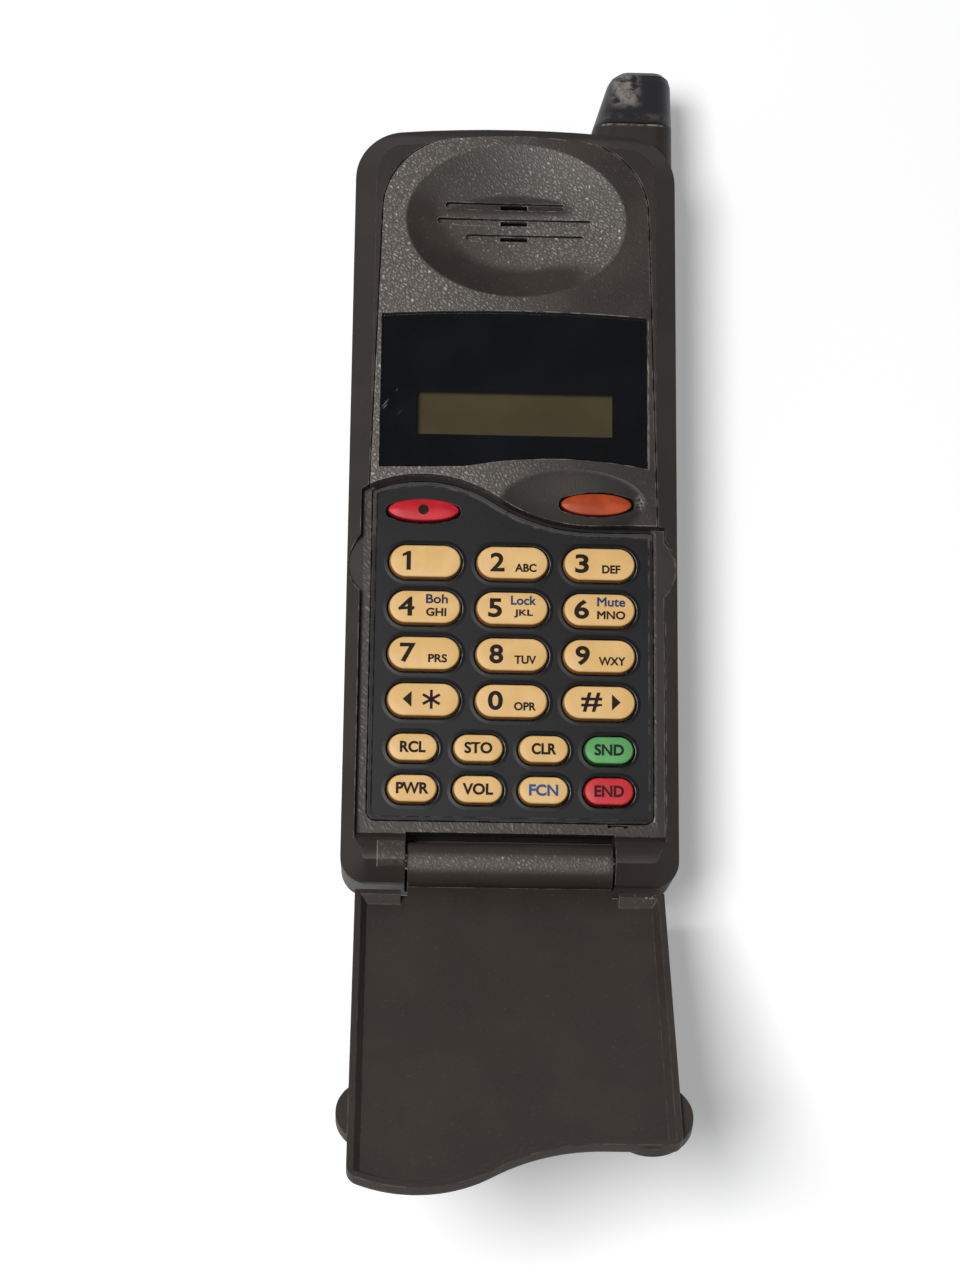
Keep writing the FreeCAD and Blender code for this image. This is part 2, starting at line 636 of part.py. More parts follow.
def bezel_outline(inset="0"):
    half = f"(bezel_half - ({inset}))"
    foot = f"({along('bezel_foot')} + ({inset}))"
    corner = f"(bezel_corner - ({inset}))"
    return [
        (f"{corner} - {half}", foot),
        (f"{half} - {corner}", foot, corner, "left"),
        (half, f"{foot} + {corner}"),
    ] + wave(f"bezel_gap + ({inset})", half) + [
        (f"-{half}", f"{foot} + {corner}", corner, "left"),
    ]


def lens_outline(grow="0"):
    half = f"(lens_half + {grow})"
    return [
        (f"-{half}", f"{along('lens_foot')} - {grow}"),
        ("lens_bend_x", f"{along('lens_foot + lens_bend_rise')} - {grow}", "lens_foot_radius", "right"),
        (half, f"{along('lens_foot_right')} - {grow}"),
        (half, f"{along('lens_head')} + {grow}", "lens_head_radius", "left"),
        (f"-{half}", f"{along('lens_head')} + {grow}"),
    ]


def oval(x, y, grow="0"):
    """An oval button: two flat arcs and two small tips."""
    end = f"(oval_length / 2 + {grow} - oval_tip)"
    tip = f"(oval_tip_half + {grow})"
    rise = "(oval_height / 2 - oval_tip_half)"
    flat = f"(({end}^2 + {rise}^2) / (2 * {rise}))"
    nose = f"(({tip}^2 + oval_tip^2) / (2 * oval_tip))"
    return [
        (f"{x} - {end}", f"{y} - {tip}", flat, "left"),
        (f"{x} + {end}", f"{y} - {tip}", nose, "left"),
        (f"{x} + {end}", f"{y} + {tip}", flat, "left"),
        (f"{x} - {end}", f"{y} + {tip}", nose, "left"),
    ]


def flip_outline(inset="0"):
    """The flip in its own frame, where Y counts from the hinge axis."""
    half = f"(flip_half - {inset})"
    return [
        (f"-{half}", f"flip_start + {inset}"),
        (half, f"flip_start + {inset}"),
    ] + wave(f"flip_gap + {inset}", half, origin="0")


SCREWS = [
    ("-lower_screw_x", along("lower_screw_y")),
    ("lower_screw_x", along("lower_screw_y")),
    ("-upper_screw_x", along("upper_screw_y")),
    ("upper_screw_x", along("upper_screw_y")),
]
WHIP_FOOT = "(bush_foot - whip_stop_gap - whip_travel - stopper_length)"
NUMBER_NAMES = ["1", "2", "3", "4", "5", "6", "7", "8", "9", "star", "0", "hash"]
FUNCTION_NAMES = ["recall", "store", "clear", "send", "power", "volume", "function", "end"]
KEYS = []
for number, name in enumerate(NUMBER_NAMES):
    across = f"({number % 3 - 1} * wide_pitch)"
    down = along(f"(number_row - {number // 3} * row_pitch)")
    KEYS.append((f"key_{name}", across, down, "wide_key"))
for number, name in enumerate(FUNCTION_NAMES):
    across = f"({number % 4 - 1.5} * small_pitch)"
    down = along(f"(function_row - {number // 4} * function_pitch)")
    KEYS.append((f"key_{name}", across, down, "small_key"))
OVALS = [
    ("red_button", "red_oval_x", along("red_oval_y"), "red_oval_top", LEDGE),
    ("orange_button", "orange_oval_x", along("orange_oval_y"), "orange_oval_top", DECK),
]


# Front housing: shell with a bevelled shoulder, recess for the flip, deck under the keys, hinge knuckles

front = new_body("front_housing")
prism(front, "parting_level", BEVEL_LEVEL, housing_outline())
lower_loop = new_sketch(front, BEVEL_LEVEL)
draw(lower_loop, housing_outline())
upper_loop = new_sketch(front, "face_level")
draw(upper_loop, housing_outline("bevel_width"))
bevel = front.newObject("PartDesign::AdditiveLoft", "front_bevel")
bevel.Profile = lower_loop
bevel.Sections = [upper_loop]
bevel.Ruled = True
foot_round = [
    (FOOT, HINGE_LEVEL),
    (FOOT, "face_level"),
    ("hinge_place", "face_level", "knuckle_radius", "left"),
]
cut_across(front, f"{HALF} + 1", foot_round)
prism(front, DECK, "face_level", recess_outline(), cut=True)
head_radius = "((knuckle_head^2 + recess_depth^2) / (2 * recess_depth))"
head_round = [
    ("hinge_place", "face_level", head_radius, "right"),
    (along("knuckle_head"), DECK),
    (along("knuckle_head"), "face_level"),
]
cut_across(front, "recess_half", head_round)
prism(front, DECK, "face_level", panel_outline("-seam_gap"), cut=True)
for side in ("-", ""):
    notch = ("grip_radius + grip_gap", "recess_depth + 1")
    rod(front, ALONG_Z, f"{side}grip_x", along("grip_place"), DECK, *notch, cut=True)
cavity_half = f"({HALF} - shell_wall)"
inner_head = f"({CROWN} - top_crown - shell_wall)"
inner_corner = "(top_corner - shell_wall)"
cavity = rounded(f"-{cavity_half}", cavity_half, CAVITY_FOOT, inner_head, inner_corner)
prism(front, "parting_level", DECK_UNDER, cavity, cut=True)
block(
    front,
    "-barrel_half - barrel_gap",
    "barrel_half + barrel_gap",
    f"{FOOT} - 1",
    along("slot_head"),
    "parting_level",
    "face_level + 1",
    cut=True,
)
prism(front, LEDGE, DECK, bezel_outline("-seam_gap"), cut=True)
prism(front, DECK_UNDER, LEDGE, bezel_outline("ledge_width"), cut=True)
screen_hole = rounded(
    "-screen_half - screen_gap",
    "screen_half + screen_gap",
    along("(screen_foot - screen_gap)"),
    along("(screen_head + screen_gap)"),
    "opening_corner",
)
around = "(flange_reach + opening_play)"
flange_hole = rounded(
    f"orange_oval_x - oval_length / 2 - {around}",
    f"orange_oval_x + oval_length / 2 + {around}",
    along(f"(orange_oval_y - oval_height / 2 - {around})"),
    along(f"(orange_oval_y + oval_height / 2 + {around})"),
    "opening_corner",
)
speaker_hole = ("0", along("ear_place"), "speaker_radius + opening_play")
prism(front, DECK_UNDER, DECK, screen_hole, speaker_hole, flange_hole, cut=True)
block(
    front,
    "mic_x - mic_slot_length / 2",
    "mic_x + mic_slot_length / 2",
    along("(bezel_foot - seam_gap - mic_slot_width)"),
    along("(bezel_foot - seam_gap)"),
    DECK_UNDER,
    DECK,
    cut=True,
)
for x, y in SCREWS:
    rod(front, ALONG_Z, x, y, "parting_level", "boss_radius", f"{DECK_UNDER} - parting_level")
    screw_hole = f"{SCREW_END} + screw_lead - parting_level"
    rod(front, ALONG_Z, x, y, "parting_level", "screw_radius", screw_hole, cut=True)
rod(front, ALONG_X, "-shaft_half", "hinge_place", HINGE_LEVEL, "shaft_radius", "2 * shaft_half", cut=True)
bore_foot = along("(bush_foot - bore_lead)")
bore_length = "tower_head - bush_foot + bore_lead"
rod(front, ALONG_Y, "whip_x", bore_foot, "whip_level", "bush_radius", bore_length, cut=True)


# Face panel: grained plate with the earpiece dish, the lens seat and the thumb dish


def dish(body, x, y, half_width, half_height, depth, bulge):
    """Cuts a shallow bowl: the cap of an ellipsoid whose widest part lies above the face."""
    made = body.newObject("PartDesign::SubtractiveEllipsoid", f"{body.Name}_dish")
    spread = f"sqrt(1 - (1 - 1 / ({bulge}))^2)"
    tie(made, "Radius1", f"({depth}) * ({bulge})")
    tie(made, "Radius2", f"({half_width}) / {spread}")
    tie(made, "Radius3", f"({half_height}) / {spread}")
    tie(made, "Placement.Base.x", x)
    tie(made, "Placement.Base.y", y)
    tie(made, "Placement.Base.z", f"face_level + ({depth}) * ({bulge} - 1)")


panel = new_body("face_panel")
prism(panel, DECK, "face_level", panel_outline())
dish(panel, "0", along("ear_place"), "ear_half_width", "ear_half_height", "ear_depth", "ear_bulge")
dish(panel, "thumb_x", along("thumb_y"), "thumb_half_width", "thumb_half_height", "thumb_depth", "ear_bulge")
prism(panel, "face_level - lens_thickness - seat_gap", "face_level", lens_outline("seam_gap"), cut=True)
prism(
    panel,
    DECK,
    "face_level - lens_thickness - seat_gap",
    rounded("-window_half", "window_half", along("window_foot"), along("window_head"), "opening_corner"),
    cut=True,
)
groove_floor = "(face_level - ear_depth - groove_depth)"
GROOVES = [(1, -13.1, 9.2), (0, -14.6, 14.2), (-1, -9.2, 12.8)]
for step, left, right in GROOVES:
    middle = along(f"(ear_place + {step} * groove_pitch)")
    x, length = (left + right) / 2, right - left
    prism(panel, groove_floor, "face_level", (str(x), middle, str(length), "groove_width"), cut=True)
    block(
        panel,
        "sound_hole_x - sound_hole_length / 2",
        "sound_hole_x + sound_hole_length / 2",
        f"{middle} - sound_hole_width / 2",
        f"{middle} + sound_hole_width / 2",
        DECK,
        "face_level",
        cut=True,
    )
prism(panel, DECK, "face_level", oval("orange_oval_x", along("orange_oval_y"), "key_gap"), cut=True)

lens = new_body("display_lens")
prism(lens, "face_level - lens_thickness", "face_level", lens_outline())

# Keypad bezel: dark plate with a raised line round it and a window for each key

bezel = new_body("keypad_bezel")
prism(bezel, LEDGE, BEZEL_TOP, bezel_outline())
prism(bezel, BEZEL_TOP, f"{BEZEL_TOP} + bezel_lip", bezel_outline())
prism(bezel, BEZEL_TOP, f"{BEZEL_TOP} + bezel_lip", bezel_outline("lip_width"), cut=True)
for name, x, y, kind in KEYS:
    hole = (x, y, f"({kind}_length + 2 * key_gap)", f"({kind}_height + 2 * key_gap)")
    prism(bezel, LEDGE, BEZEL_TOP, hole, cut=True)
prism(bezel, LEDGE, BEZEL_TOP, oval("red_oval_x", along("red_oval_y"), "key_gap"), cut=True)

# Keys: moulded caps with a flange that the bezel holds down and a stem that reaches the board


def finish_key(body, x, y, flange_top, top):
    """Rounds the cap's top and gives the key its contact stem."""
    level = value(top)
    round_edges(body, "key_edge", lambda edge: at_level(edge, level))
    rod(body, ALONG_Z, x, y, STEM_END, "plunger_radius", f"{flange_top} - {STEM_END}")


for name, x, y, kind in KEYS:
    key = new_body(name)
    flange_top = f"({LEDGE} - flange_play)"
    flange_low = f"({flange_top} - flange_thickness)"
    length, height = f"{kind}_length", f"{kind}_height"
    flange = (x, y, f"({length} + 2 * flange_reach)", f"({height} + 2 * flange_reach)")
    prism(key, flange_low, flange_top, flange)
    prism(key, flange_top, "key_top", (x, y, length, height))
    finish_key(key, x, y, flange_top, "key_top")

for name, x, y, top, under in OVALS:
    button = new_body(name)
    flange_top = f"({under} - flange_play)"
    flange_low = f"({flange_top} - flange_thickness)"
    prism(button, flange_low, flange_top, oval(x, y, "flange_reach"))
    prism(button, flange_top, top, oval(x, y))
    finish_key(button, x, y, flange_top, top)

# Keypad membrane: rubber sheet on the board with a dome round each stem

membrane = new_body("keypad_membrane")
sheet_top = "(board_top + membrane_thickness)"
sheet_foot = along("(function_row - function_pitch - small_key_height / 2 - membrane_foot_edge)")
sheet_head = along("(number_row + wide_key_height / 2 + membrane_head_edge)")
prism(membrane, "board_top", sheet_top, rectangle("-membrane_half", "membrane_half", sheet_foot, sheet_head))
for name, x, y, top, under in OVALS:
    block(
        membrane,
        f"{x} - oval_length / 2",
        f"{x} + oval_length / 2",
        along("number_row"),
        f"{y} + oval_height",
        "board_top",
        sheet_top,
    )
places = [(x, y) for name, x, y, kind in KEYS] + [(x, y) for name, x, y, top, under in OVALS]
for x, y in places:
    rod(membrane, ALONG_Z, x, y, "board_top", "dome_radius", "dome_top - board_top")
for x, y in places:
    rod(membrane, ALONG_Z, x, y, "board_top", "plunger_radius + dome_gap", "dome_top - board_top", cut=True)
block(
    membrane,
    "mic_x - mic_radius - opening_play",
    "membrane_half + 1",
    along("(mic_y - mic_radius)"),
    along("(mic_y + mic_radius + mic_gap)"),
    "board_top",
    "dome_top",
    cut=True,
)

# Rear housing: shallow over the battery, full depth above it, with the antenna tower


def slanted(place):
    """The tower's and the cap's left edge at a place along the phone."""
    return f"(tower_left + (cap_left - tower_left) * ({place} - tower_foot) / (cap_head - tower_foot))"


def section(body, place, x0, x1, z0, z1, radius):
    """A rounded cross-section of the antenna tower, looking along the phone."""
    made = new_sketch(body, f"-{along(place)}", "XZ_Plane")
    draw(made, rounded(x0, x1, z0, z1, radius))
    return made


def loft(body, first, *others):
    made = body.newObject("PartDesign::AdditiveLoft", f"{body.Name}_loft")
    made.Profile = first
    made.Sections = list(others)
    made.Ruled = True


rear = new_body("rear_housing")
prism(rear, "0", "parting_level", housing_outline())
block(rear, f"-{HALF} - 1", f"{HALF} + 1", f"{FOOT} - 1", along("bay_head"), "-1", "skirt_low", cut=True)
hook_half = f"({HALF} - skirt_wall - hook_reach)"
skirt_half = f"({HALF} - skirt_wall)"
block(rear, f"-{hook_half}", hook_half, f"{FOOT} - 1", along("bay_head"), "skirt_low", "back_floor", cut=True)
hook_top = "(skirt_low + hook_height)"
block(rear, f"-{skirt_half}", skirt_half, f"{FOOT} - 1", along("bay_head"), hook_top, "back_floor", cut=True)
bay_line = value(along("bay_head")) + TOUCH
round_edges(rear, "battery_round", lambda edge: at_level(edge, 0) and edge.BoundBox.YMax > bay_line)
tower_root = "(tower_foot - tower_sink)"
loft(
    rear,
    section(rear, tower_root, slanted(tower_root), HALF, "tower_low", "tower_high", "tower_round"),
    section(rear, "tower_head", slanted("tower_head"), HALF, "tower_low", "tower_high", "tower_round"),
)
prism(rear, "parting_level", "face_level", housing_outline(), cut=True)
prism(rear, FLOOR_TOP, "parting_level", cavity, cut=True)
deep_foot = along("(bay_head + shell_wall)")
deep_cavity = rounded(f"-{cavity_half}", cavity_half, deep_foot, inner_head, inner_corner)
prism(rear, "shell_wall", "parting_level", deep_cavity, cut=True)
block(rear, "-port_half", "port_half", FOOT, CAVITY_FOOT, "port_low", "port_high", cut=True)
for x, y in SCREWS:
    rod(rear, ALONG_Z, x, y, "back_floor", "boss_radius", "parting_level - back_floor")
    sink = ("screw_head_radius + screw_gap", f"{SCREW_SEAT} - back_floor")
    rod(rear, ALONG_Z, x, y, "back_floor", *sink, cut=True)
    rod(rear, ALONG_Z, x, y, SCREW_SEAT, "screw_radius", f"parting_level - {SCREW_SEAT}", cut=True)
rod(rear, ALONG_Y, "whip_x", bore_foot, "whip_level", "bush_radius", bore_length, cut=True)
rod(rear, ALONG_Z, "coax_x", along("coax_y"), "0", "coax_radius", "shell_wall", cut=True)
for step in (-1, 0, 1):
    block(
        rear,
        "ringer_x - vent_length / 2",
        "ringer_x + vent_length / 2",
        along(f"(ringer_y + {step} * vent_pitch - vent_width / 2)"),
        along(f"(ringer_y + {step} * vent_pitch + vent_width / 2)"),
        "0",
        "shell_wall",
        cut=True,
    )
CONTACTS = []
for number in range(round(value("contact_count"))):
    CONTACTS.append(f"({number} - (contact_count - 1) / 2) * contact_pitch")
for x in CONTACTS:
    block(
        rear,
        f"{x} - contact_size / 2",
        f"{x} + contact_size / 2",
        along("(contact_place - contact_slot / 2)"),
        along("(contact_place + contact_slot / 2)"),
        "back_floor",
        FLOOR_TOP,
        cut=True,
    )
tongue_low, tongue_high = "latch_inset", "(latch_inset + latch_thickness)"
block(
    rear,
    "-latch_tongue_half - battery_gap",
    "latch_tongue_half + battery_gap",
    along("bay_head"),
    along("(bay_head + tongue_reach + battery_gap)"),
    f"{tongue_low} - battery_gap",
    f"{tongue_high} + battery_gap",
    cut=True,
)
for x in ("post_left", "post_right"):
    for y in ("post_foot", "post_head"):
        sides = (x, f"{x} + post_width", along(y), along(f"({y} + post_length)"))
        block(rear, *sides, FLOOR_TOP, "radio_board_low")

# Antenna: rubber cap on a whip that slides through a contact bush, with a bead at its end

cap = new_body("antenna_cap")
cap_foot = "(tower_head + cap_gap)"
cap_sections = [section(cap, cap_foot, slanted(cap_foot), HALF, "tower_low", "tower_high", "tower_round")]
for angle in (0, 30, 60, 90):
    place = f"(cap_head - cap_round * (1 - sin({angle})))"
    inset = f"(cap_round * (1 - cos({angle})))"
    left, right = f"{slanted(place)} + {inset}", f"{HALF} - {inset}"
    low, high = f"tower_low + cap_taper + {inset}", f"tower_high - cap_taper - {inset}"
    cap_sections.append(section(cap, place, left, right, low, high, f"(tower_round - {inset})"))
loft(cap, *cap_sections)
rod(cap, ALONG_Y, "whip_x", along(cap_foot), "whip_level", "whip_radius", "cap_socket", cut=True)

whip = new_body("antenna_whip")
whip_length = f"{cap_foot} + cap_socket - {WHIP_FOOT}"
rod(whip, ALONG_Y, "whip_x", along(WHIP_FOOT), "whip_level", "whip_radius", whip_length)

stopper = new_body("antenna_stopper")
rod(stopper, ALONG_Y, "whip_x", along(WHIP_FOOT), "whip_level", "stopper_radius", "stopper_length")
rod(stopper, ALONG_Y, "whip_x", along(WHIP_FOOT), "whip_level", "whip_radius", "stopper_length", cut=True)

bush = new_body("antenna_bush")
bush_length = "(tower_head - bush_foot - bush_inset)"
rod(bush, ALONG_Y, "whip_x", along("bush_foot"), "whip_level", "bush_radius", bush_length)
bush_bore = ("whip_radius + running_gap", bush_length)
rod(bush, ALONG_Y, "whip_x", along("bush_foot"), "whip_level", *bush_bore, cut=True)

tube = new_body("antenna_tube")
tube_bore = "(stopper_radius + tube_gap)"
tube_foot = along(f"({WHIP_FOOT} - 1)")
tube_length = f"bush_foot - {WHIP_FOOT} + 1"
rod(tube, ALONG_Y, "whip_x", tube_foot, "whip_level", f"{tube_bore} + tube_wall", tube_length)
rod(tube, ALONG_Y, "whip_x", tube_foot, "whip_level", tube_bore, tube_length, cut=True)

# Flip: shallow tray on a hinge barrel, drawn closed in its own frame and turned to its stop


def on_flip(body):
    """Places a piece that is drawn in the flip's own frame."""
    body.Placement = Placement(Vector(), Rotation(Vector(1, 0, 0), 1))
    tie(body, "Placement.Base.y", "hinge_place")
    tie(body, "Placement.Base.z", HINGE_LEVEL)
    tie(body, "Placement.Rotation.Angle", "open_angle")


flip = new_body("flip_door")
flip_top = "knuckle_radius"
rim_level = "(knuckle_radius - recess_depth + flip_clearance)"
tray_level = "(knuckle_radius - flip_plate)"
prism(flip, rim_level, flip_top, flip_outline())
tip_low = value("grip_place")
for side, corner in ((-1, "flip_left_corner"), (1, "flip_right_corner")):
    flank = value("flip_half") - TOUCH
    round_edges(
        flip,
        corner,
        lambda edge: upright(edge) and edge.BoundBox.YMin > tip_low and side * edge.BoundBox.Center.x > flank,
    )
outer_level, hinge_side = value(flip_top), value("flip_start") + TOUCH
round_edges(
    flip,
    "flip_round",
    lambda edge: at_level(edge, outer_level) and edge.BoundBox.YMax > hinge_side,
)
grip_low = f"{flip_top} - grip_thickness"
for side in ("-", ""):
    rod(flip, ALONG_Z, f"{side}grip_x", "grip_place", grip_low, "grip_radius", "grip_thickness")
tray_rim, tray_floor = new_sketch(flip, rim_level), new_sketch(flip, tray_level)
draw(tray_rim, flip_outline("flip_rim"))
draw(tray_floor, flip_outline("(flip_rim + rim_slope)"))
tray = flip.newObject("PartDesign::SubtractiveLoft", "flip_tray")
tray.Profile = tray_rim
tray.Sections = [tray_floor]
tray.Ruled = True
mouth_half = "(barrel_half + tray_mouth)"
mouth_end = "(flip_start + flip_rim + rim_slope)"
block(flip, f"-{mouth_half}", mouth_half, "flip_start", mouth_end, rim_level, tray_level, cut=True)
barrel_level = f"({flip_top} - barrel_radius)"
rod(flip, ALONG_X, "-barrel_half", "barrel_lead", barrel_level, "barrel_radius", "2 * barrel_half")
block(flip, "-barrel_half", "barrel_half", "barrel_lead", mouth_end, tray_level, flip_top)
rod(flip, ALONG_X, "-barrel_half", "0", "0", "shaft_radius + running_gap", "2 * barrel_half", cut=True)
washer_place = "(barrel_half - cam_length - washer_count * washer_thickness - running_gap)"
rod(flip, ALONG_X, washer_place, "0", "0", "washer_radius", f"barrel_half - {washer_place}", cut=True)
magnet_level = f"({flip_top} - (recess_depth - flip_clearance) / 2)"
rod(flip, ALONG_Y, "-magnet_x", "flip_start", magnet_level, "magnet_radius", "magnet_length", cut=True)
on_flip(flip)

magnet = new_body("flip_magnet")
rod(magnet, ALONG_Y, "-magnet_x", "flip_start", magnet_level, "magnet_radius", "magnet_length")
on_flip(magnet)

shaft = new_body("hinge_shaft")
rod(shaft, ALONG_X, "-shaft_half", "hinge_place", HINGE_LEVEL, "shaft_radius", "2 * shaft_half")

cam = new_body("hinge_cam")
cam_place = "(barrel_half - cam_length)"
rod(cam, ALONG_X, cam_place, "hinge_place", HINGE_LEVEL, "washer_radius", "cam_length")
rod(cam, ALONG_X, cam_place, "hinge_place", HINGE_LEVEL, "shaft_radius + running_gap", "cam_length", cut=True)


# Pieces of several alike solids, and plain parts inside


def part_rod(turn, x, y, z, radius, length):
    made = doc.addObject("Part::Cylinder", "rod")
    made.Placement = Placement(Vector(), turn)
    tie(made, "Radius", radius)
    tie(made, "Height", length)
    for axis, place in zip("xyz", (x, y, z)):
        tie(made, f"Placement.Base.{axis}", place)
    return made


def part_block(x0, x1, y0, y1, z0, z1):
    made = doc.addObject("Part::Box", "block")
    for side, (low, high) in {"Length": (x0, x1), "Width": (y0, y1), "Height": (z0, z1)}.items():
        tie(made, side, f"({high}) - ({low})")
    for axis, low in zip("xyz", (x0, y0, z0)):
        tie(made, f"Placement.Base.{axis}", low)
    return made


def join(kind, pieces, label=None):
    made = doc.addObject(kind, label or "joined")
    if kind == "Part::Compound":
        made.Links = pieces
    elif kind == "Part::Cut":
        made.Base, made.Tool = pieces
    else:
        made.Shapes = pieces
    if label:
        made.Label = label
        GROUPS.append(made)
    return made


GROUPS = []
rings = []
for number in range(round(value("washer_count"))):
    place = f"({washer_place} + {number} * washer_thickness)"
    thick = "(washer_thickness - running_gap)"
    ring = part_rod(ALONG_X, place, "hinge_place", HINGE_LEVEL, "washer_radius", thick)
    hole = part_rod(ALONG_X, place, "hinge_place", HINGE_LEVEL, "shaft_radius + running_gap", thick)
    rings.append(join("Part::Cut", [ring, hole]))
join("Part::Compound", rings, "hinge_washers")

screws = []
for x, y in SCREWS:
    head = part_rod(ALONG_Z, x, y, SCREW_HEAD, "screw_head_radius", "screw_head_height")
    slot = part_block(
        f"{x} - screw_slot_length / 2",
        f"{x} + screw_slot_length / 2",
        f"{y} - screw_slot_width / 2",
        f"{y} + screw_slot_width / 2",
        SCREW_HEAD,
        f"{SCREW_HEAD} + screw_slot_depth",
    )
    shank = part_rod(ALONG_Z, x, y, SCREW_SEAT, "screw_radius", "screw_length")
    screws.append(join("Part::MultiFuse", [join("Part::Cut", [head, slot]), shank]))
join("Part::Compound", screws, "housing_screws")

# Boards and what they carry

logic = new_body("logic_board")
prism(
    logic,
    BOARD_LOW,
    "board_top",
    rounded("board_left", "board_right", along("board_foot"), along("board_head"), "board_corner"),
)
CHIPS = ((-17, -7, 93, 105), (-4, 8, 94, 104), (10, 16, 92.5, 99))
for x0, x1, y0, y1 in CHIPS:
    sides = (str(x0), str(x1), along(str(y0)), along(str(y1)))
    block(logic, *sides, "board_top", "board_top + chip_height")
for x, y in SCREWS:
    rod(logic, ALONG_Z, x, y, BOARD_LOW, "boss_radius + boss_gap", "board_thickness", cut=True)

radio = new_body("radio_board")
prism(
    radio,
    "radio_board_low",
    RADIO_TOP,
    rounded("board_left", "board_right", along("radio_board_foot"), along("board_head"), "board_corner"),
)
for x, y in SCREWS[2:]:
    rod(radio, ALONG_Z, x, y, "radio_board_low", "boss_radius + boss_gap", "board_thickness", cut=True)

can = new_body("shield_can")
block(can, "can_left", "can_right", along("can_foot"), along("can_head"), RADIO_TOP, BOARD_LOW)
block(
    can,
    "can_left + can_wall",
    "can_right - can_wall",
    along("(can_foot + can_wall)"),
    along("(can_head - can_wall)"),
    RADIO_TOP,
    f"{BOARD_LOW} - can_wall",
    cut=True,
)

duplexer = new_body("duplexer")
block(
    duplexer,
    "duplexer_left",
    "duplexer_right",
    along("duplexer_foot"),
    along("duplexer_head"),
    "duplexer_low",
    "radio_board_low",
)

link = new_body("board_connector")
link_sides = ("-link_half", "link_half", along("link_foot"), along("(link_foot + link_width)"))
block(link, *link_sides, RADIO_TOP, BOARD_LOW)

light = new_body("backlight")
screen = new_body("lcd_panel")
light_top = "(board_top + backlight_height)"
for body, low, high in ((light, "board_top", light_top), (screen, light_top, f"{DECK} - seat_gap")):
    block(body, "-screen_half", "screen_half", along("screen_foot"), along("screen_head"), low, high)

speaker = new_body("earpiece_speaker")
gasket = new_body("earpiece_gasket")
speaker_top = "(board_top + speaker_height)"
for body, low, high, floor in (
    (speaker, "board_top", speaker_top, f"({speaker_top} - speaker_recess)"),
    (gasket, speaker_top, DECK, speaker_top),
):
    rod(body, ALONG_Z, "0", along("ear_place"), low, "speaker_radius", f"{high} - {low}")
    inner = ("speaker_radius - speaker_rim", f"{high} - {floor}")
    rod(body, ALONG_Z, "0", along("ear_place"), floor, *inner, cut=True)

microphone = new_body("microphone")
rod(microphone, ALONG_Z, "mic_x", along("mic_y"), "board_top", "mic_radius", "mic_height")

ringer = new_body("ringer")
rod(ringer, ALONG_Z, "ringer_x", along("ringer_y"), "shell_wall", "ringer_radius", "ringer_height")

reed = new_body("reed_switch")
rod(reed, ALONG_Y, "reed_x", along("reed_foot"), "board_top + reed_radius", "reed_radius", "reed_length")

coax = new_body("antenna_socket")
rod(coax, ALONG_Z, "coax_x", along("coax_y"), "coax_inset", "coax_radius", "coax_depth + coax_end")
rod(coax, ALONG_Z, "coax_x", along("coax_y"), "coax_inset", "coax_bore", "coax_depth", cut=True)

port = new_body("accessory_connector")
block(port, "-port_half", "port_half", f"{FOOT} + port_inset", CAVITY_FOOT, "port_low", "port_high")
for number in range(round(value("port_contacts"))):
    x = f"({number} - (port_contacts - 1) / 2) * port_pitch"
    block(
        port,
        f"{x} - port_slot_width / 2",
        f"{x} + port_slot_width / 2",
        f"{FOOT} + port_inset",
        f"{FOOT} + port_inset + port_slot_depth",
        "port_low + port_skin",
        "port_high - port_skin",
        cut=True,
    )

# Battery: moulded case and back cover welded together, five flat cells, contacts and a sprung latch

pack_half = f"({HALF} - battery_gap)"
pack_foot = along("battery_foot")
pack_head = along("(bay_head - battery_gap)")
latch_zone = along("(latch_foot - latch_travel - battery_gap)")

cover = new_body("battery_cover")
pack_outline = rounded(f"-{pack_half}", pack_half, pack_foot, pack_head, "battery_corner")
prism(cover, "0", "battery_split", pack_outline)
round_edges(cover, "battery_round", lambda edge: at_level(edge, 0))
prism(
    cover,
    "battery_wall",
    "battery_split",
    rectangle(
        f"battery_wall - {pack_half}",
        f"{pack_half} - battery_wall",
        f"{pack_foot} + battery_wall",
        f"{latch_zone} - battery_wall",
    ),
    cut=True,
)
block(
    cover,
    "-latch_half - battery_gap",
    "latch_half + battery_gap",
    latch_zone,
    f"{pack_head} + 1",
    "-1",
    "latch_inset + latch_thickness + latch_play",
    cut=True,
)

case = new_body("battery_case")
prism(case, "battery_split", "skirt_low - battery_gap", pack_outline)
neck_half = f"({hook_half} - battery_gap)"
head_half = f"({skirt_half} - battery_gap)"
case_top = "(back_floor - battery_gap)"
block(case, f"-{neck_half}", neck_half, pack_foot, pack_head, "skirt_low - battery_gap", case_top)
rail_foot = f"({pack_foot} + battery_corner)"
block(case, f"-{head_half}", head_half, rail_foot, pack_head, f"{hook_top} + battery_gap", case_top)
block(
    case,
    f"battery_wall - {neck_half}",
    f"{neck_half} - battery_wall",
    f"{pack_foot} + battery_wall",
    f"{latch_zone} - battery_wall",
    "battery_split",
    f"{case_top} - battery_wall",
    cut=True,
)
for x in CONTACTS:
    block(
        case,
        f"{x} - contact_size / 2",
        f"{x} + contact_size / 2",
        along("(contact_place - contact_length / 2)"),
        along("(contact_place + contact_length / 2)"),
        "back_floor - battery_gap - contact_depth",
        "back_floor",
        cut=True,
    )

cells = []
cell_top = "battery_wall + cell_height"
for number in range(round(value("cell_count"))):
    low = f"({pack_foot} + battery_wall + battery_gap + {number} * cell_pitch)"
    ends = ("-cell_length / 2", "cell_length / 2", low, f"{low} + cell_width")
    cells.append(part_block(*ends, "battery_wall", cell_top))
join("Part::Compound", cells, "battery_cells")

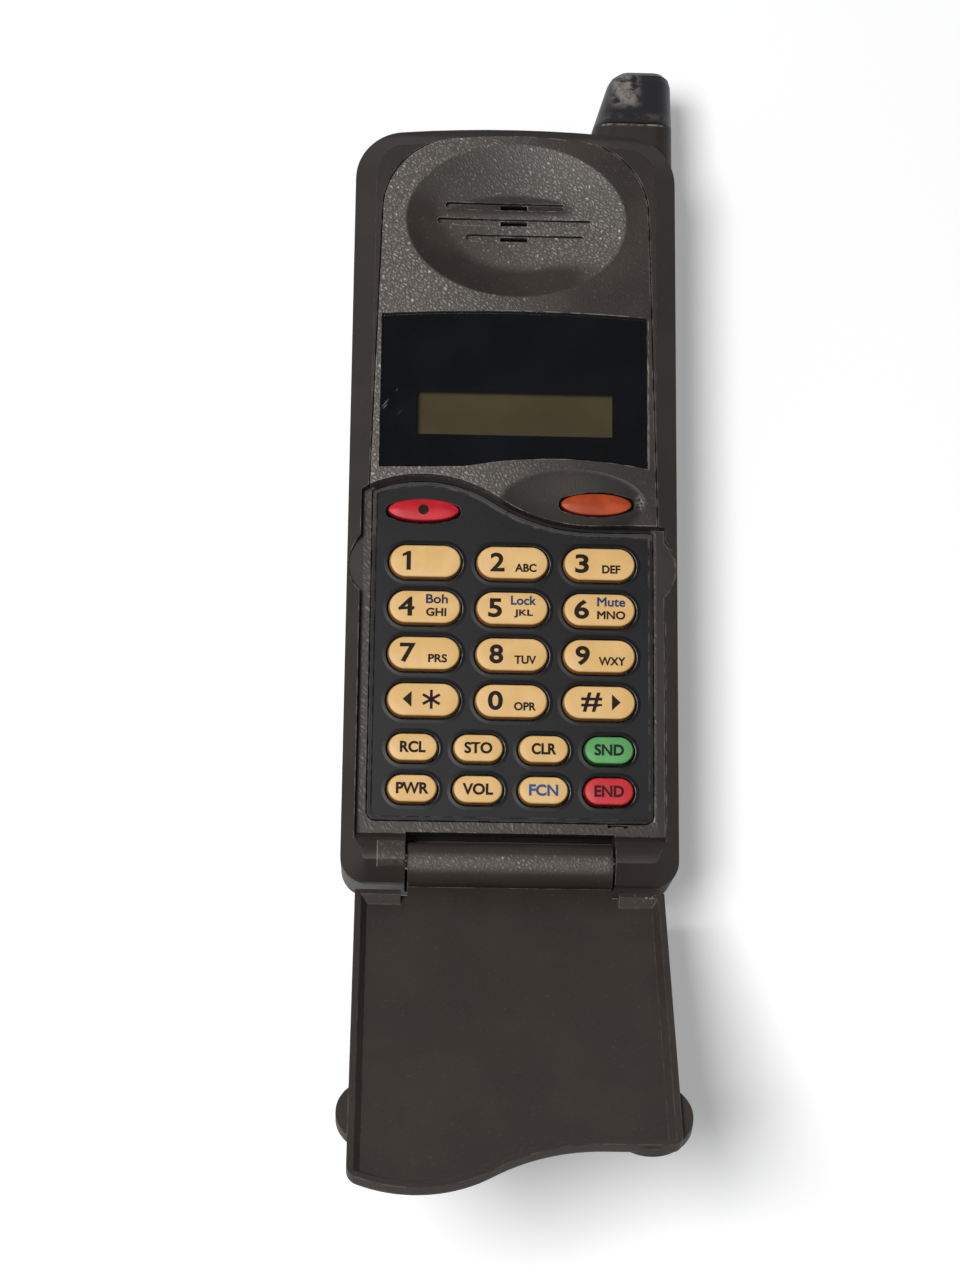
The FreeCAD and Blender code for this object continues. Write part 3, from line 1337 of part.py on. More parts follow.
pads = []
springs = []
contact_low = f"({case_top} + spring_lift)"
LEAVES = [
    (-3.4, 0.6, "radio_board_low - spring_leaf", "radio_board_low"),
    (0.2, 0.6, contact_low, "radio_board_low"),
    (-1.2, 0.6, contact_low, f"{contact_low} + spring_leaf"),
]
for x in CONTACTS:
    left, right = f"{x} - contact_size / 2", f"{x} + contact_size / 2"
    foot = along("(contact_place - contact_length / 2)")
    head = along("(contact_place + contact_length / 2)")
    pads.append(part_block(left, right, foot, head, f"{case_top} - contact_depth", case_top))
    leaves = []
    left, right = f"{x} - spring_width / 2", f"{x} + spring_width / 2"
    for start, end, low, high in LEAVES:
        foot, head = along(f"(contact_place + {start})"), along(f"(contact_place + {end})")
        leaves.append(part_block(left, right, foot, head, low, high))
    springs.append(join("Part::MultiFuse", leaves))
join("Part::Compound", pads, "battery_contacts")
join("Part::Compound", springs, "contact_springs")

latch = new_body("battery_latch")
block(latch, "-latch_half", "latch_half", along("latch_foot"), f"{pack_head} - 0.2", tongue_low, tongue_high)
block(
    latch,
    "-latch_tongue_half",
    "latch_tongue_half",
    f"{pack_head} - 0.3",
    along("(bay_head + tongue_reach)"),
    tongue_low,
    tongue_high,
)
spring_level = "latch_inset + latch_thickness / 2"
spring_length = "latch_travel + spring_seat"
spring_bore = ("spring_radius + latch_play", "latch_travel + spring_seat")
rod(latch, ALONG_Y, "0", along("latch_foot"), spring_level, *spring_bore, cut=True)
for number in range(round(value("rib_count"))):
    low = along(f"(latch_foot + rib_start + {number} * rib_pitch)")
    rib = (low, f"{low} + rib_width", "latch_inset", "latch_inset + rib_depth")
    block(latch, "-latch_half + rib_end", "latch_half - rib_end", *rib, cut=True)

spring = new_body("latch_spring")
rod(spring, ALONG_Y, "0", latch_zone, spring_level, "spring_radius", spring_length)
rod(spring, ALONG_Y, "0", latch_zone, spring_level, "spring_radius / 2", spring_length, cut=True)

# Check every object and write the pieces

doc.recompute()
pieces = [item for item in doc.Objects if item.TypeId == "PartDesign::Body"] + GROUPS
for item in doc.Objects:
    if "Invalid" in item.State or "Error" in item.State:
        raise RuntimeError(f"{item.Name} is {item.State}")
    if item.TypeId in ("PartDesign::Pocket", "PartDesign::Pad"):
        before = item.BaseFeature.Shape.Volume if item.BaseFeature else 0.0
        gained = item.Shape.Volume - before
        if (gained < 0) != (item.TypeId == "PartDesign::Pocket") or abs(gained) < TOUCH**2:
            raise RuntimeError(f"{item.Name} changed the volume by {gained}")
os.makedirs("parts", exist_ok=True)
for item in pieces:
    shape = item.Shape
    if shape.isNull() or not shape.isValid() or shape.Volume < TOUCH:
        raise RuntimeError(f"{item.Label} has no sound shape")
    shape.exportStep(f"parts/{item.Label}.step")
    box = shape.optimalBoundingBox(False)
    print(
        f"{item.Label}: {len(shape.Solids)} solids, {shape.Volume:.1f} mm3, "
        f"x {box.XMin:.2f} {box.XMax:.2f}, y {box.YMin:.2f} {box.YMax:.2f}, z {box.ZMin:.2f} {box.ZMax:.2f}"
    )
print(len(pieces), "pieces")
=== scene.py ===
import math

import bmesh
import bpy
from mathutils import Matrix, Vector


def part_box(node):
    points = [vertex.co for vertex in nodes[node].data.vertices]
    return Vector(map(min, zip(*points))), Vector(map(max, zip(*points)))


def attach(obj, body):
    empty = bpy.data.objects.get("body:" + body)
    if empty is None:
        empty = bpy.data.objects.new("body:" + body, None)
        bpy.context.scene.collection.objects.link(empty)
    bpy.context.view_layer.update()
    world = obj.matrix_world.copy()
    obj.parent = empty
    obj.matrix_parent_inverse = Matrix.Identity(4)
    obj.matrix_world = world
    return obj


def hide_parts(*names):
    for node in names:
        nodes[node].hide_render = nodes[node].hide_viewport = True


# The flip phone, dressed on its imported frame.
# The sections follow the phone as it is put together. Sizes and places are in millimetres, or in metres
# where a comment says so.

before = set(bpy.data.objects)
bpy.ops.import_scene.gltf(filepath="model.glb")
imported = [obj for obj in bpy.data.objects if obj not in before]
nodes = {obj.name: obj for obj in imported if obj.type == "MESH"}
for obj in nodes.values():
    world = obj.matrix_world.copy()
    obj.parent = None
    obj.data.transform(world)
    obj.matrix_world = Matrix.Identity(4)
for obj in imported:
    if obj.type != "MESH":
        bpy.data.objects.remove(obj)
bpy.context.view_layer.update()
MM = 0.001


# The two housings
# Injection-moulded ABS in a warm grey-brown: the front has a satin shoulder all round, and a leather grain
# etched into the mould where the flip lies. Four screws from the back hold the halves together.

# How wide the patches in a moulded surface are: its shades, specks, paler stretches of edge, the mould's
# spark texture, its gloss, the painted glints on its grain and its wear. The real spark texture is finer
# than this, and is drawn as coarse as it needs to show.
SHADES, SPECKS, PALE_RUNS, SPARKS, GLOSS, GLINTS, WEAR = 14.0, 0.45, 2.2, 0.22, 6.0, 0.8, 0.7
EDGE_RADIUS, PALE_EDGE_RADIUS = 0.25, 0.35
# The colour of painted shade.
SHADE_COLOUR = "#100d0c"


def hex_colour(code):
    """An sRGB colour, written as in a paint list, in the linear light that shaders use."""
    shades = [int(code[place : place + 2], 16) / 255 for place in (1, 3, 5)]
    return tuple(s / 12.92 if s <= 0.04045 else ((s + 0.055) / 1.055) ** 2.4 for s in shades) + (1.0,)


def add(tree, kind, inputs=None, **settings):
    """Adds a node, sets what it has and gives its inputs numbers, colours or links."""
    node = tree.nodes.new(kind)
    for name, setting in settings.items():
        setattr(node, name, setting)
    for name, given in (inputs or {}).items():
        if isinstance(given, bpy.types.NodeSocket):
            tree.links.new(given, node.inputs[name])
        else:
            node.inputs[name].default_value = given
    return node


def plastic(name, colour, roughness, ior=1.53, metallic=0.0, specular=0.5):
    """A new material, its shader with the plain numbers set, and a place on the piece in metres."""
    material = bpy.data.materials.new(name)
    material.use_nodes = True
    tree = material.node_tree
    shader = tree.nodes["Principled BSDF"]
    shader.inputs["Base Color"].default_value = hex_colour(colour)
    numbers = {"Roughness": roughness, "IOR": ior, "Metallic": metallic, "Specular IOR Level": specular}
    for socket, number in numbers.items():
        shader.inputs[socket].default_value = number
    place = add(tree, "ShaderNodeTexCoord").outputs["Object"]
    return material, tree, shader, place


def clouds(tree, place, size, detail=3.0, roughness=0.55):
    """Soft noise whose patches are about this many millimetres across."""
    inputs = {"Vector": place, "Scale": 1 / (size * MM), "Detail": detail, "Roughness": roughness}
    return add(tree, "ShaderNodeTexNoise", inputs).outputs["Fac"]


def between(tree, amount, low, high, start=0.0, end=1.0):
    """Maps an amount from one range to another, smoothly and held at its ends."""
    inputs = {"Value": amount, "From Min": low, "From Max": high, "To Min": start, "To Max": end}
    return add(tree, "ShaderNodeMapRange", inputs, interpolation_type="SMOOTHSTEP").outputs["Result"]


def blended(tree, amount, first, second):
    """One colour turning into another. Each is a hex code or the colour of another node."""
    mix = add(tree, "ShaderNodeMix", {"Factor": amount}, data_type="RGBA")
    for place, colour in ((6, first), (7, second)):
        if isinstance(colour, str):
            mix.inputs[place].default_value = hex_colour(colour)
        else:
            tree.links.new(colour, mix.inputs[place])
    return mix.outputs[2]


def tint(tree, shader, amount, first, second):
    """Colours the surface with one colour turning into another."""
    tree.links.new(blended(tree, amount, first, second), shader.inputs["Base Color"])


def reckon(tree, operation, *amounts):
    """Works an amount out from one, two or three others."""
    inputs = dict(enumerate(amounts))
    return add(tree, "ShaderNodeMath", inputs, operation=operation).outputs["Value"]


def eased(tree, radius):
    """The surface's normal as it would be with edges rounded to a radius."""
    return add(tree, "ShaderNodeBevel", {"Radius": radius * MM}, samples=6).outputs["Normal"]


def sharp_turn(tree):
    """How sharply the surface turns within the radius of the paler edges: 0 on a flat and 1 on an edge."""
    inputs = {0: eased(tree, PALE_EDGE_RADIUS), 1: add(tree, "ShaderNodeNewGeometry").outputs["Normal"]}
    turn = add(tree, "ShaderNodeVectorMath", inputs, operation="DOT_PRODUCT").outputs["Value"]
    return between(tree, turn, 0.995, 0.80)


def skin(tree, shader, height, depth, base=None):
    """Raises the surface by a height pattern, in millimetres, over an optional normal below it."""
    inputs = {"Height": height, "Strength": 1.0, "Distance": depth * MM}
    if base is not None:
        inputs["Normal"] = base
    bump = add(tree, "ShaderNodeBump", inputs)
    tree.links.new(bump.outputs["Normal"], shader.inputs["Normal"])


def pebbles(tree, place, pitch):
    """Leather grain: rounded cells of uneven size, drawn out along a slant, with narrow valleys."""
    slant = {"Vector": place, "Rotation": (0.0, 0.0, math.radians(-55)), "Scale": (1.6, 1.0, 1.0)}
    place = add(tree, "ShaderNodeMapping", slant, vector_type="TEXTURE").outputs["Vector"]
    stir = {"Vector": place, "Scale": 1 / (1.7 * pitch * MM), "Detail": 1.0}
    push = {0: add(tree, "ShaderNodeTexNoise", stir).outputs["Color"], 3: 1.1 * pitch * MM}
    shift = add(tree, "ShaderNodeVectorMath", push, operation="SCALE").outputs["Vector"]
    moved = add(tree, "ShaderNodeVectorMath", {0: place, 1: shift}, operation="ADD").outputs["Vector"]
    inputs = {"Vector": moved, "Scale": 1 / (pitch * MM)}
    cells = add(tree, "ShaderNodeTexVoronoi", inputs, feature="DISTANCE_TO_EDGE")
    return between(tree, cells.outputs["Distance"], 0.0, 0.42)


def inside(tree, place, low, high, edge=0.05):
    """1 within a box given by two corners, and 0 outside. A corner's None leaves that side open."""
    split = add(tree, "ShaderNodeSeparateXYZ", {"Vector": place})
    amount = 1.0
    for axis in range(3):
        along = split.outputs[axis]
        if low[axis] is not None:
            start = between(tree, along, (low[axis] - edge) * MM, (low[axis] + edge) * MM)
            amount = reckon(tree, "MULTIPLY", amount, start)
        if high[axis] is not None:
            end = between(tree, along, (high[axis] + edge) * MM, (high[axis] - edge) * MM)
            amount = reckon(tree, "MULTIPLY", amount, end)
    return amount


def moulded(
    name, colour, dark, light, roughness, grain_and_glints=None, grain=0.9, depth=0.05, wear_and_glints=None, shade_mask=None,
    edges=0.55, specular=0.36,
):
    """Satin moulded ABS: a fine spark-eroded texture, slight shade changes, and edges made paler as wear
    and as a painted highlight. Functions of the place say how strong the leather grain and its painted
    glints are, where paler wear and painted glints show, and where painted shade darkens the surface."""
    material, tree, shader, place = plastic(name, colour, roughness, specular=specular)
    shade = between(tree, clouds(tree, place, SHADES), 0.35, 0.65)
    base = blended(tree, shade, dark, colour)
    specks = between(tree, clouds(tree, place, SPECKS, 2.0), 0.62, 0.76)
    base = blended(tree, reckon(tree, "MULTIPLY", specks, 0.06), base, light)
    # Edges are made paler in patches, partly as wear and partly as a painted highlight.
    patches = between(tree, clouds(tree, place, PALE_RUNS), 0.42, 0.60)
    lightened = reckon(tree, "MULTIPLY", sharp_turn(tree), patches)
    base = blended(tree, reckon(tree, "MULTIPLY", lightened, edges), base, light)
    height = reckon(tree, "MULTIPLY", clouds(tree, place, SPARKS, 2.0), 0.05)
    rough = between(tree, clouds(tree, place, GLOSS), 0.3, 0.7, roughness - 0.015, roughness + 0.015)
    if grain_and_glints:
        mask = grain_and_glints(tree, place)
        cells = pebbles(tree, place, grain)
        height = reckon(tree, "MULTIPLY_ADD", cells, reckon(tree, "MULTIPLY_ADD", mask, 0.9, 0.1), height)
        valley_shade = reckon(tree, "MULTIPLY", between(tree, cells, 0.45, 0.0), mask)
        # Where the grain shows, the surface is painted lighter as a sheen, the grain's valleys are painted
        # darker as shade, and its tops are painted with glints as highlights.
        base = blended(tree, reckon(tree, "MULTIPLY", mask, 0.16), base, light)
        base = blended(tree, reckon(tree, "MULTIPLY", valley_shade, 0.50), base, dark)
        tops = reckon(tree, "MULTIPLY", between(tree, cells, 0.70, 1.0), mask)
        painted_light_share = between(tree, clouds(tree, place, GLINTS, 1.0), 0.50, 0.66)
        glints = reckon(tree, "MULTIPLY", tops, painted_light_share)
        base = blended(tree, reckon(tree, "MULTIPLY", glints, 0.70), base, light)
        rough = reckon(tree, "SUBTRACT", rough, reckon(tree, "MULTIPLY", tops, 0.10))
    # Paler patches where the function gives: real wear on some parts, painted glints on the face panel.
    if wear_and_glints:
        patchy = between(tree, clouds(tree, place, WEAR, 2.0), 0.25, 0.45)
        base = blended(tree, reckon(tree, "MULTIPLY", wear_and_glints(tree, place), patchy), base, light)
    # Painted shade: the surface is painted darker where the function gives, and made rougher there.
    if shade_mask:
        shade_amount = shade_mask(tree, place)
        base = blended(tree, shade_amount, base, SHADE_COLOUR)
        rough = reckon(tree, "MULTIPLY_ADD", shade_amount, 0.40, rough)
    tree.links.new(base, shader.inputs["Base Color"])
    tree.links.new(rough, shader.inputs["Roughness"])
    skin(tree, shader, height, depth, eased(tree, EDGE_RADIUS))
    return material


def finish(material, *solids):
    """Gives solids that keep their CAD mesh their real material."""
    for solid in solids:
        for holder in nodes[solid].material_slots:
            holder.material = material


def recess_grain_and_glints(tree, place):
    """Where the grain and its painted glints show: the floor beside and below the bezel, and a pad on top
    of the left knuckle.
    """
    left = inside(tree, place, (-27.0, -42.0, 20.7), (-25.3, 25.0, 23.06), 0.1)
    right = inside(tree, place, (25.3, -42.0, 20.7), (26.2, 25.0, 23.06), 0.1)
    sides = reckon(tree, "MAXIMUM", left, right)
    strip = inside(tree, place, (-26.5, -43.2, 20.7), (26.5, -40.5, 23.06), 0.1)
    across = add(tree, "ShaderNodeSeparateXYZ", {"Vector": place}).outputs["X"]
    # Below the bezel the grain and its painted glints fade towards the right, away from the lamp.
    strip = reckon(tree, "MULTIPLY", strip, between(tree, across, 26 * MM, -10 * MM, 0.35, 1.0))
    pad = inside(tree, place, (-23.3, -49.4, 21.0), (-18.6, -44.9, 26.5), 0.3)
    return reckon(tree, "MAXIMUM", sides, reckon(tree, "MAXIMUM", strip, pad))


def recess_wear(tree, place):
    """Edges that fingers, the closing flip and the antenna's cap have rubbed pale."""
    line = inside(tree, place, (25.45, -40.6, 21.0), (25.75, -36.0, 24.5), 0.08)
    knuckle = inside(tree, place, (-23.5, -49.6, 21.0), (-23.4, -44.9, 26.5), 0.06)
    tower = inside(tree, place, (16.5, 94.45, 12.0), (28.3, 94.80, None), 0.08)
    broken = between(tree, clouds(tree, place, 1.1, 4.0), 0.38, 0.62, 0.0, 0.7)
    tower = reckon(tree, "MULTIPLY", tower, broken)
    return reckon(tree, "MAXIMUM", reckon(tree, "MAXIMUM", line, knuckle), tower)


def recess_shade(tree, place):
    """Painted shade in the gap between the face panel and the bezel, and on the shoulder at the top end."""
    gap = inside(tree, place, (-25.2, 11.5, 15.0), (25.2, 24.0, 23.2), 0.2)
    top = inside(tree, place, (None, 89.5, 21.0), (None, None, 25.8), 0.8)
    return reckon(tree, "MAXIMUM", reckon(tree, "MULTIPLY", gap, 0.85), reckon(tree, "MULTIPLY", top, 0.45))


# The housings' grain carries painted glints, and painted shade darkens the gap under the face panel and the
# top shoulder.
housing_abs = moulded(
    "moulded_abs", "#322b27", "#2c2622", "#9a9085", 0.50, recess_grain_and_glints, wear_and_glints=recess_wear, shade_mask=recess_shade
)
finish(housing_abs, "front_housing", "rear_housing")


# Face panel
# A separate ABS plate with leather grain, snapped into the front housing. It has the dished earpiece with
# its grooves, the seat of the lens and the dish round the orange button.

DISH_MIDDLE, DISH_REACH, ISLAND_REACH = (0.0, 72.3), (20.5, 15.2), (14.3, 5.5)
THUMB_MIDDLE, THUMB_REACH = (10.7, 17.4), (13.4, 6.5)
# Each groove has its place along the phone and its two ends across it.
GROOVES = ((75.45, -13.1, 9.2), (72.3, -14.6, 14.2), (69.15, -9.2, 12.8))


def dish_place(tree, place, middle, reach):
    """A place counted from a dish's middle, as 1 at its reach: across, along and how far out it lies."""
    start = (-middle[0] / reach[0], -middle[1] / reach[1], 0.0)
    scale = (1 / (reach[0] * MM), 1 / (reach[1] * MM), 1.0)
    counted = add(tree, "ShaderNodeMapping", {"Vector": place, "Location": start, "Scale": scale})
    counted = counted.outputs["Vector"]
    split = add(tree, "ShaderNodeSeparateXYZ", {"Vector": counted}).outputs
    out = add(tree, "ShaderNodeVectorMath", {0: counted}, operation="LENGTH").outputs["Value"]
    return split["X"], split["Y"], out


def thumb_dish(tree, place):
    """1 in the dish round the orange button, which thumbs have polished."""
    out = dish_place(tree, place, THUMB_MIDDLE, THUMB_REACH)[2]
    return between(tree, out, 1.04, 0.90)


def panel_grain_and_glints(tree, place):
    """Where the grain and its painted glints and sheen show: strongly where the lamp catches the plate, at
    its left and on the dish's upper right wall. They fade towards the right of the plate and are left out
    on the dish's shaded walls and brow and in the thumb dish.
    """
    across, along, out = dish_place(tree, place, DISH_MIDDLE, DISH_REACH)
    flat = between(tree, across, 0.75, -0.95, 0.06, 1.0)
    lower_left = reckon(tree, "MULTIPLY", across, -0.55)
    lower_left = reckon(tree, "ADD", lower_left, reckon(tree, "MULTIPLY", along, -0.83))
    lower_left = between(tree, lower_left, 0.30, 0.52)
    left = reckon(tree, "MULTIPLY", between(tree, across, -0.58, -0.78), between(tree, along, 0.62, 0.15))
    low = reckon(tree, "MULTIPLY", between(tree, along, -0.44, -0.66), between(tree, across, 1.05, 0.45))
    shaded = reckon(tree, "MAXIMUM", lower_left, reckon(tree, "MAXIMUM", left, low))
    wall = reckon(tree, "MULTIPLY", shaded, between(tree, out, 0.52, 0.70))
    near = dish_place(tree, place, DISH_MIDDLE, ISLAND_REACH)[2]
    brow = reckon(tree, "MULTIPLY", between(tree, near, 1.06, 0.92), between(tree, along, 0.06, 0.15))
    brow = reckon(tree, "MULTIPLY", brow, between(tree, across, 0.62, 0.40))
    kept = reckon(tree, "SUBTRACT", 1.0, reckon(tree, "MAXIMUM", wall, brow))
    # The dish's right wall, which faces the lamp, gets the strongest painted glints.
    hollow = reckon(tree, "MULTIPLY", kept, between(tree, across, -0.7, 0.7, 0.30, 1.0))
    within = between(tree, out, 1.02, 0.98)
    plate = reckon(tree, "MULTIPLY", flat, reckon(tree, "SUBTRACT", 1.0, within))
    plate = reckon(tree, "MULTIPLY", plate, reckon(tree, "SUBTRACT", 1.0, thumb_dish(tree, place)))
    return reckon(tree, "MULTIPLY_ADD", hollow, within, plate)


def panel_glints(tree, place):
    """Painted glints: bright specks at the right tip of the orange button, on the thumb dish's wall that
    faces the lamp.
    """
    near = inside(tree, place, (22.4, 16.6, 23.5), (23.4, 19.0, None), 0.7)
    return reckon(tree, "MULTIPLY", near, between(tree, clouds(tree, place, 0.35, 1.0), 0.47, 0.56))


def panel_shade(tree, place):
    """Painted shade: the thumb dish is painted darker, more so towards its right, and so is the upper left
    of the earpiece dish. The upper walls of the earpiece grooves are painted dark as shade."""
    # The thumb dish is painted darker as shade, more towards its right.
    side = add(tree, "ShaderNodeSeparateXYZ", {"Vector": place}).outputs["X"]
    painted_light_share = between(tree, side, 6 * MM, 23 * MM, 0.30, 0.80)
    amount = reckon(tree, "MULTIPLY", thumb_dish(tree, place), painted_light_share)
    # Painted shade on the upper left of the earpiece dish.
    across, along, out = dish_place(tree, place, DISH_MIDDLE, DISH_REACH)
    painted_shade = reckon(tree, "MULTIPLY", between(tree, across, 0.45, -0.3), between(tree, along, 0.0, 0.35))
    painted_shade = reckon(tree, "MULTIPLY", painted_shade, between(tree, out, 1.02, 0.98, 0.0, 0.26))
    amount = reckon(tree, "MAXIMUM", amount, painted_shade)
    # Painted shade along the upper wall of each groove.
    for middle, left, right in GROOVES:
        low, high = (left + 0.3, middle + 0.55, 23.9), (right - 0.3, middle + 0.72, 24.8)
        line = reckon(tree, "MULTIPLY", inside(tree, place, low, high, 0.07), 0.9)
        amount = reckon(tree, "MAXIMUM", amount, line)
    return amount


# The face panel's grain carries painted glints, and its dishes and grooves carry painted shade.
panel_abs = moulded(
    "grained_abs", "#3b342f", "#2e2824", "#dcd4cc", 0.40, panel_grain_and_glints, 0.62, 0.08, panel_glints, panel_shade
)
finish(panel_abs, "face_panel")


# Display lens
# Clear acrylic, printed black from behind except for the window over the liquid crystal, with a hard gloss.
# It sits in a seat of the face panel.

PRINT_LEVEL = (24.72, 24.78)
PRINT_GAP = 0.03
WINDOW = (-18.0, 18.0, 30.4, 38.6)


def placed(name, data):
    """A new object of the scene that holds a mesh, a curve, a lamp or the camera."""
    made = bpy.data.objects.new(name, data)
    bpy.context.scene.collection.objects.link(made)
    return made


def face_outline(node, level, inset):
    """The outline of a CAD solid's flat face at a height, moved inwards by an inset."""
    solid = nodes[node]
    places = [solid.matrix_world @ vertex.co / MM for vertex in solid.data.vertices]
    uses, after = {}, {}
    for face in solid.data.polygons:
        if all(abs(places[corner].z - level) < 0.01 for corner in face.vertices):
            for edge in face.edge_keys:
                uses[edge] = uses.get(edge, 0) + 1
    for first, second in (edge for edge, count in uses.items() if count == 1):
        after.setdefault(first, []).append(second)
        after.setdefault(second, []).append(first)
    here = next(iter(after))
    loop, before = [], None
    while here not in loop:
        loop.append(here)
        here, before = next(corner for corner in after[here] if corner != before), here
    points = [places[corner].xy for corner in loop]
    turn = sum(a.x * b.y - b.x * a.y for a, b in zip(points, points[1:] + points[:1]))
    if turn < 0:
        points.reverse()
    moved = []
    for before, point, ahead in zip(points[-1:] + points[:-1], points, points[1:] + points[:1]):
        sides = [Vector((-run.y, run.x)).normalized() for run in (point - before, ahead - point)]
        moved.append(point + (sides[0] + sides[1]) * (inset / max(1 + sides[0].dot(sides[1]), 0.5)))
    return [tuple(point) for point in moved]


def slab_with_hole(name, outline, hole, low, high, material):
    """A flat sheet between two heights, with one hole. Both loops run the same way round."""
    shape = bmesh.new()
    edges = []
    for loop in (outline, hole):
        corners = [shape.verts.new((x * MM, y * MM, low * MM)) for x, y in loop]
        edges += [shape.edges.new((a, b)) for a, b in zip(corners, corners[1:] + corners[:1])]
    bmesh.ops.triangle_fill(shape, edges=edges, use_beauty=True)
    lifted = bmesh.ops.extrude_face_region(shape, geom=list(shape.faces), use_keep_orig=True)
    moved = [item for item in lifted["geom"] if isinstance(item, bmesh.types.BMVert)]
    bmesh.ops.translate(shape, verts=moved, vec=(0, 0, (high - low) * MM))
    bmesh.ops.recalc_face_normals(shape, faces=shape.faces)
    mesh = bpy.data.meshes.new(name)
    shape.to_mesh(mesh)
    shape.free()
    mesh.materials.append(material)
    return placed(name, mesh)


lens_acrylic, tree, shader, place = plastic("clear_acrylic", "#f4f6f8", 0.03, 1.49)
shader.inputs["Transmission Weight"].default_value = 1.0
scuffs = between(tree, clouds(tree, place, 9.0, 2.0), 0.35, 0.75, 0.03, 0.05)
tree.links.new(scuffs, shader.inputs["Roughness"])
# Light from the lamps passes straight through to the print and the display.
rays = add(tree, "ShaderNodeLightPath").outputs
lamp_ray = reckon(tree, "MAXIMUM", rays["Is Shadow Ray"], rays["Is Diffuse Ray"])
open_to_lamps = add(tree, "ShaderNodeBsdfTransparent").outputs["BSDF"]
through = add(tree, "ShaderNodeMixShader", {0: lamp_ray, 1: shader.outputs["BSDF"], 2: open_to_lamps})
tree.links.new(through.outputs["Shader"], tree.nodes["Material Output"].inputs["Surface"])
finish(lens_acrylic, "display_lens")

print_ink, tree, shader, place = plastic("screen_print_ink", "#08090c", 0.60, 1.5, specular=0.0)
mottle = between(tree, clouds(tree, place, 9.0), 0.3, 0.7)
slanted = {"Vector": place, "Rotation": (0.0, 0.0, math.radians(52)), "Scale": (12.0, 1.0, 1.0)}
slanted = add(tree, "ShaderNodeMapping", slanted, vector_type="TEXTURE").outputs["Vector"]
scratches = between(tree, clouds(tree, slanted, 0.30, 1.0), 0.66, 0.72)
lower_left = inside(tree, place, (-24.5, 34.5, None), (-21.0, 40.0, None), 0.8)
scratched = reckon(tree, "MULTIPLY", reckon(tree, "MULTIPLY", scratches, lower_left), 0.6)
tint(tree, shader, scratched, blended(tree, mottle, "#0b0c0f", "#0f1116"), "#b4b8bc")
lens_loop = face_outline("display_lens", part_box("display_lens")[0].z / MM, PRINT_GAP)
x0, x1, y0, y1 = WINDOW
window_loop = [(x0, y0), (x1, y0), (x1, y1), (x0, y1)]
lens_print = slab_with_hole("lens_print", lens_loop, window_loop, *PRINT_LEVEL, print_ink)
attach(lens_print, "housing")


# Display
# A reflective liquid crystal between two sheets of glass, olive when blank, on a moulded light guide.

display_glass, tree, shader, place = plastic("liquid_crystal_glass", "#4e4530", 0.45, 1.52, specular=0.0)
tint(tree, shader, between(tree, clouds(tree, place, 12.0), 0.3, 0.7), "#4a412d", "#544a33")
finish(display_glass, "lcd_panel")
light_guide, tree, shader, place = plastic("moulded_light_guide", "#d9dccf", 0.35, 1.49)
tint(tree, shader, between(tree, clouds(tree, place, 2.0), 0.3, 0.7), "#cfd3c4", "#e2e5d9")
finish(light_guide, "backlight")


# Keypad bezel
# A thin dark polycarbonate plate on a ledge of the front housing, with a raised line round its rim and a
# window for each key. It holds the keys down by their flanges.


def bezel_wear(tree, place):
    """The raised line under the wave, paler than the plate."""
    line = inside(tree, place, (None, 11.5, 22.93), (None, None, None), 0.1)
    return reckon(tree, "MULTIPLY", line, 0.20)


bezel_pc = moulded(
    "moulded_polycarbonate", "#18181b", "#131316", "#7d766f", 0.46, depth=0.02, wear_and_glints=bezel_wear,
    specular=0.28,
)
finish(bezel_pc, "keypad_bezel")


# Keys
# Silicone-rubber caps moulded with a soft pillow top. Each stands in its window of the bezel, held by its
# flange, and is pushed by a finger against the dome below. Their legends are printed on.

NUMBER_KEY = (13.1, 6.3)
FUNCTION_KEY = (9.0, 5.2)
KEY_TOP, KEY_BASE = 24.0, 20.95
KEY_CROWN, KEY_ROUND, KEY_DRAFT = 0.10, 0.32, 0.20
BEZEL_TOP = 22.8
NUMBERS = ["1", "2", "3", "4", "5", "6", "7", "8", "9", "star", "0", "hash"]
FUNCTIONS = ["recall", "store", "clear", "send", "power", "volume", "function", "end"]


def sweep_tree():
    """Sweeps a section round an outline and sets the result down at a centre."""
    tree = bpy.data.node_groups.new("sweep", "GeometryNodeTree")
    kinds = {"Outline": "Object", "Section": "Object", "Centre": "Vector", "Material": "Material"}
    for name, kind in kinds.items():
        tree.interface.new_socket(name, in_out="INPUT", socket_type=f"NodeSocket{kind}")
    tree.interface.new_socket("Geometry", in_out="OUTPUT", socket_type="NodeSocketGeometry")
    given = add(tree, "NodeGroupInput").outputs
    outline = add(tree, "GeometryNodeObjectInfo", {"Object": given["Outline"]}).outputs["Geometry"]
    section = add(tree, "GeometryNodeObjectInfo", {"Object": given["Section"]}).outputs["Geometry"]
    swept = add(tree, "GeometryNodeCurveToMesh", {"Curve": outline, "Profile Curve": section})
    made = swept.outputs["Mesh"]
    for kind, inputs in (
        ("GeometryNodeMergeByDistance", {"Distance": 0.02 * MM}),
        ("GeometryNodeTransform", {"Translation": given["Centre"]}),
        ("GeometryNodeSetShadeSmooth", {}),
        ("GeometryNodeRealizeInstances", {}),
        ("GeometryNodeSetMaterial", {"Material": given["Material"]}),
    ):
        made = add(tree, kind, {"Geometry": made, **inputs}).outputs["Geometry"]
    add(tree, "NodeGroupOutput", {"Geometry": made})
    return tree


def face_outwards(mesh):
    """Turns the faces of a closed mesh outwards."""
    shape = bmesh.new()
    shape.from_mesh(mesh)
    bmesh.ops.recalc_face_normals(shape, faces=shape.faces)
    shape.to_mesh(mesh)
    shape.free()


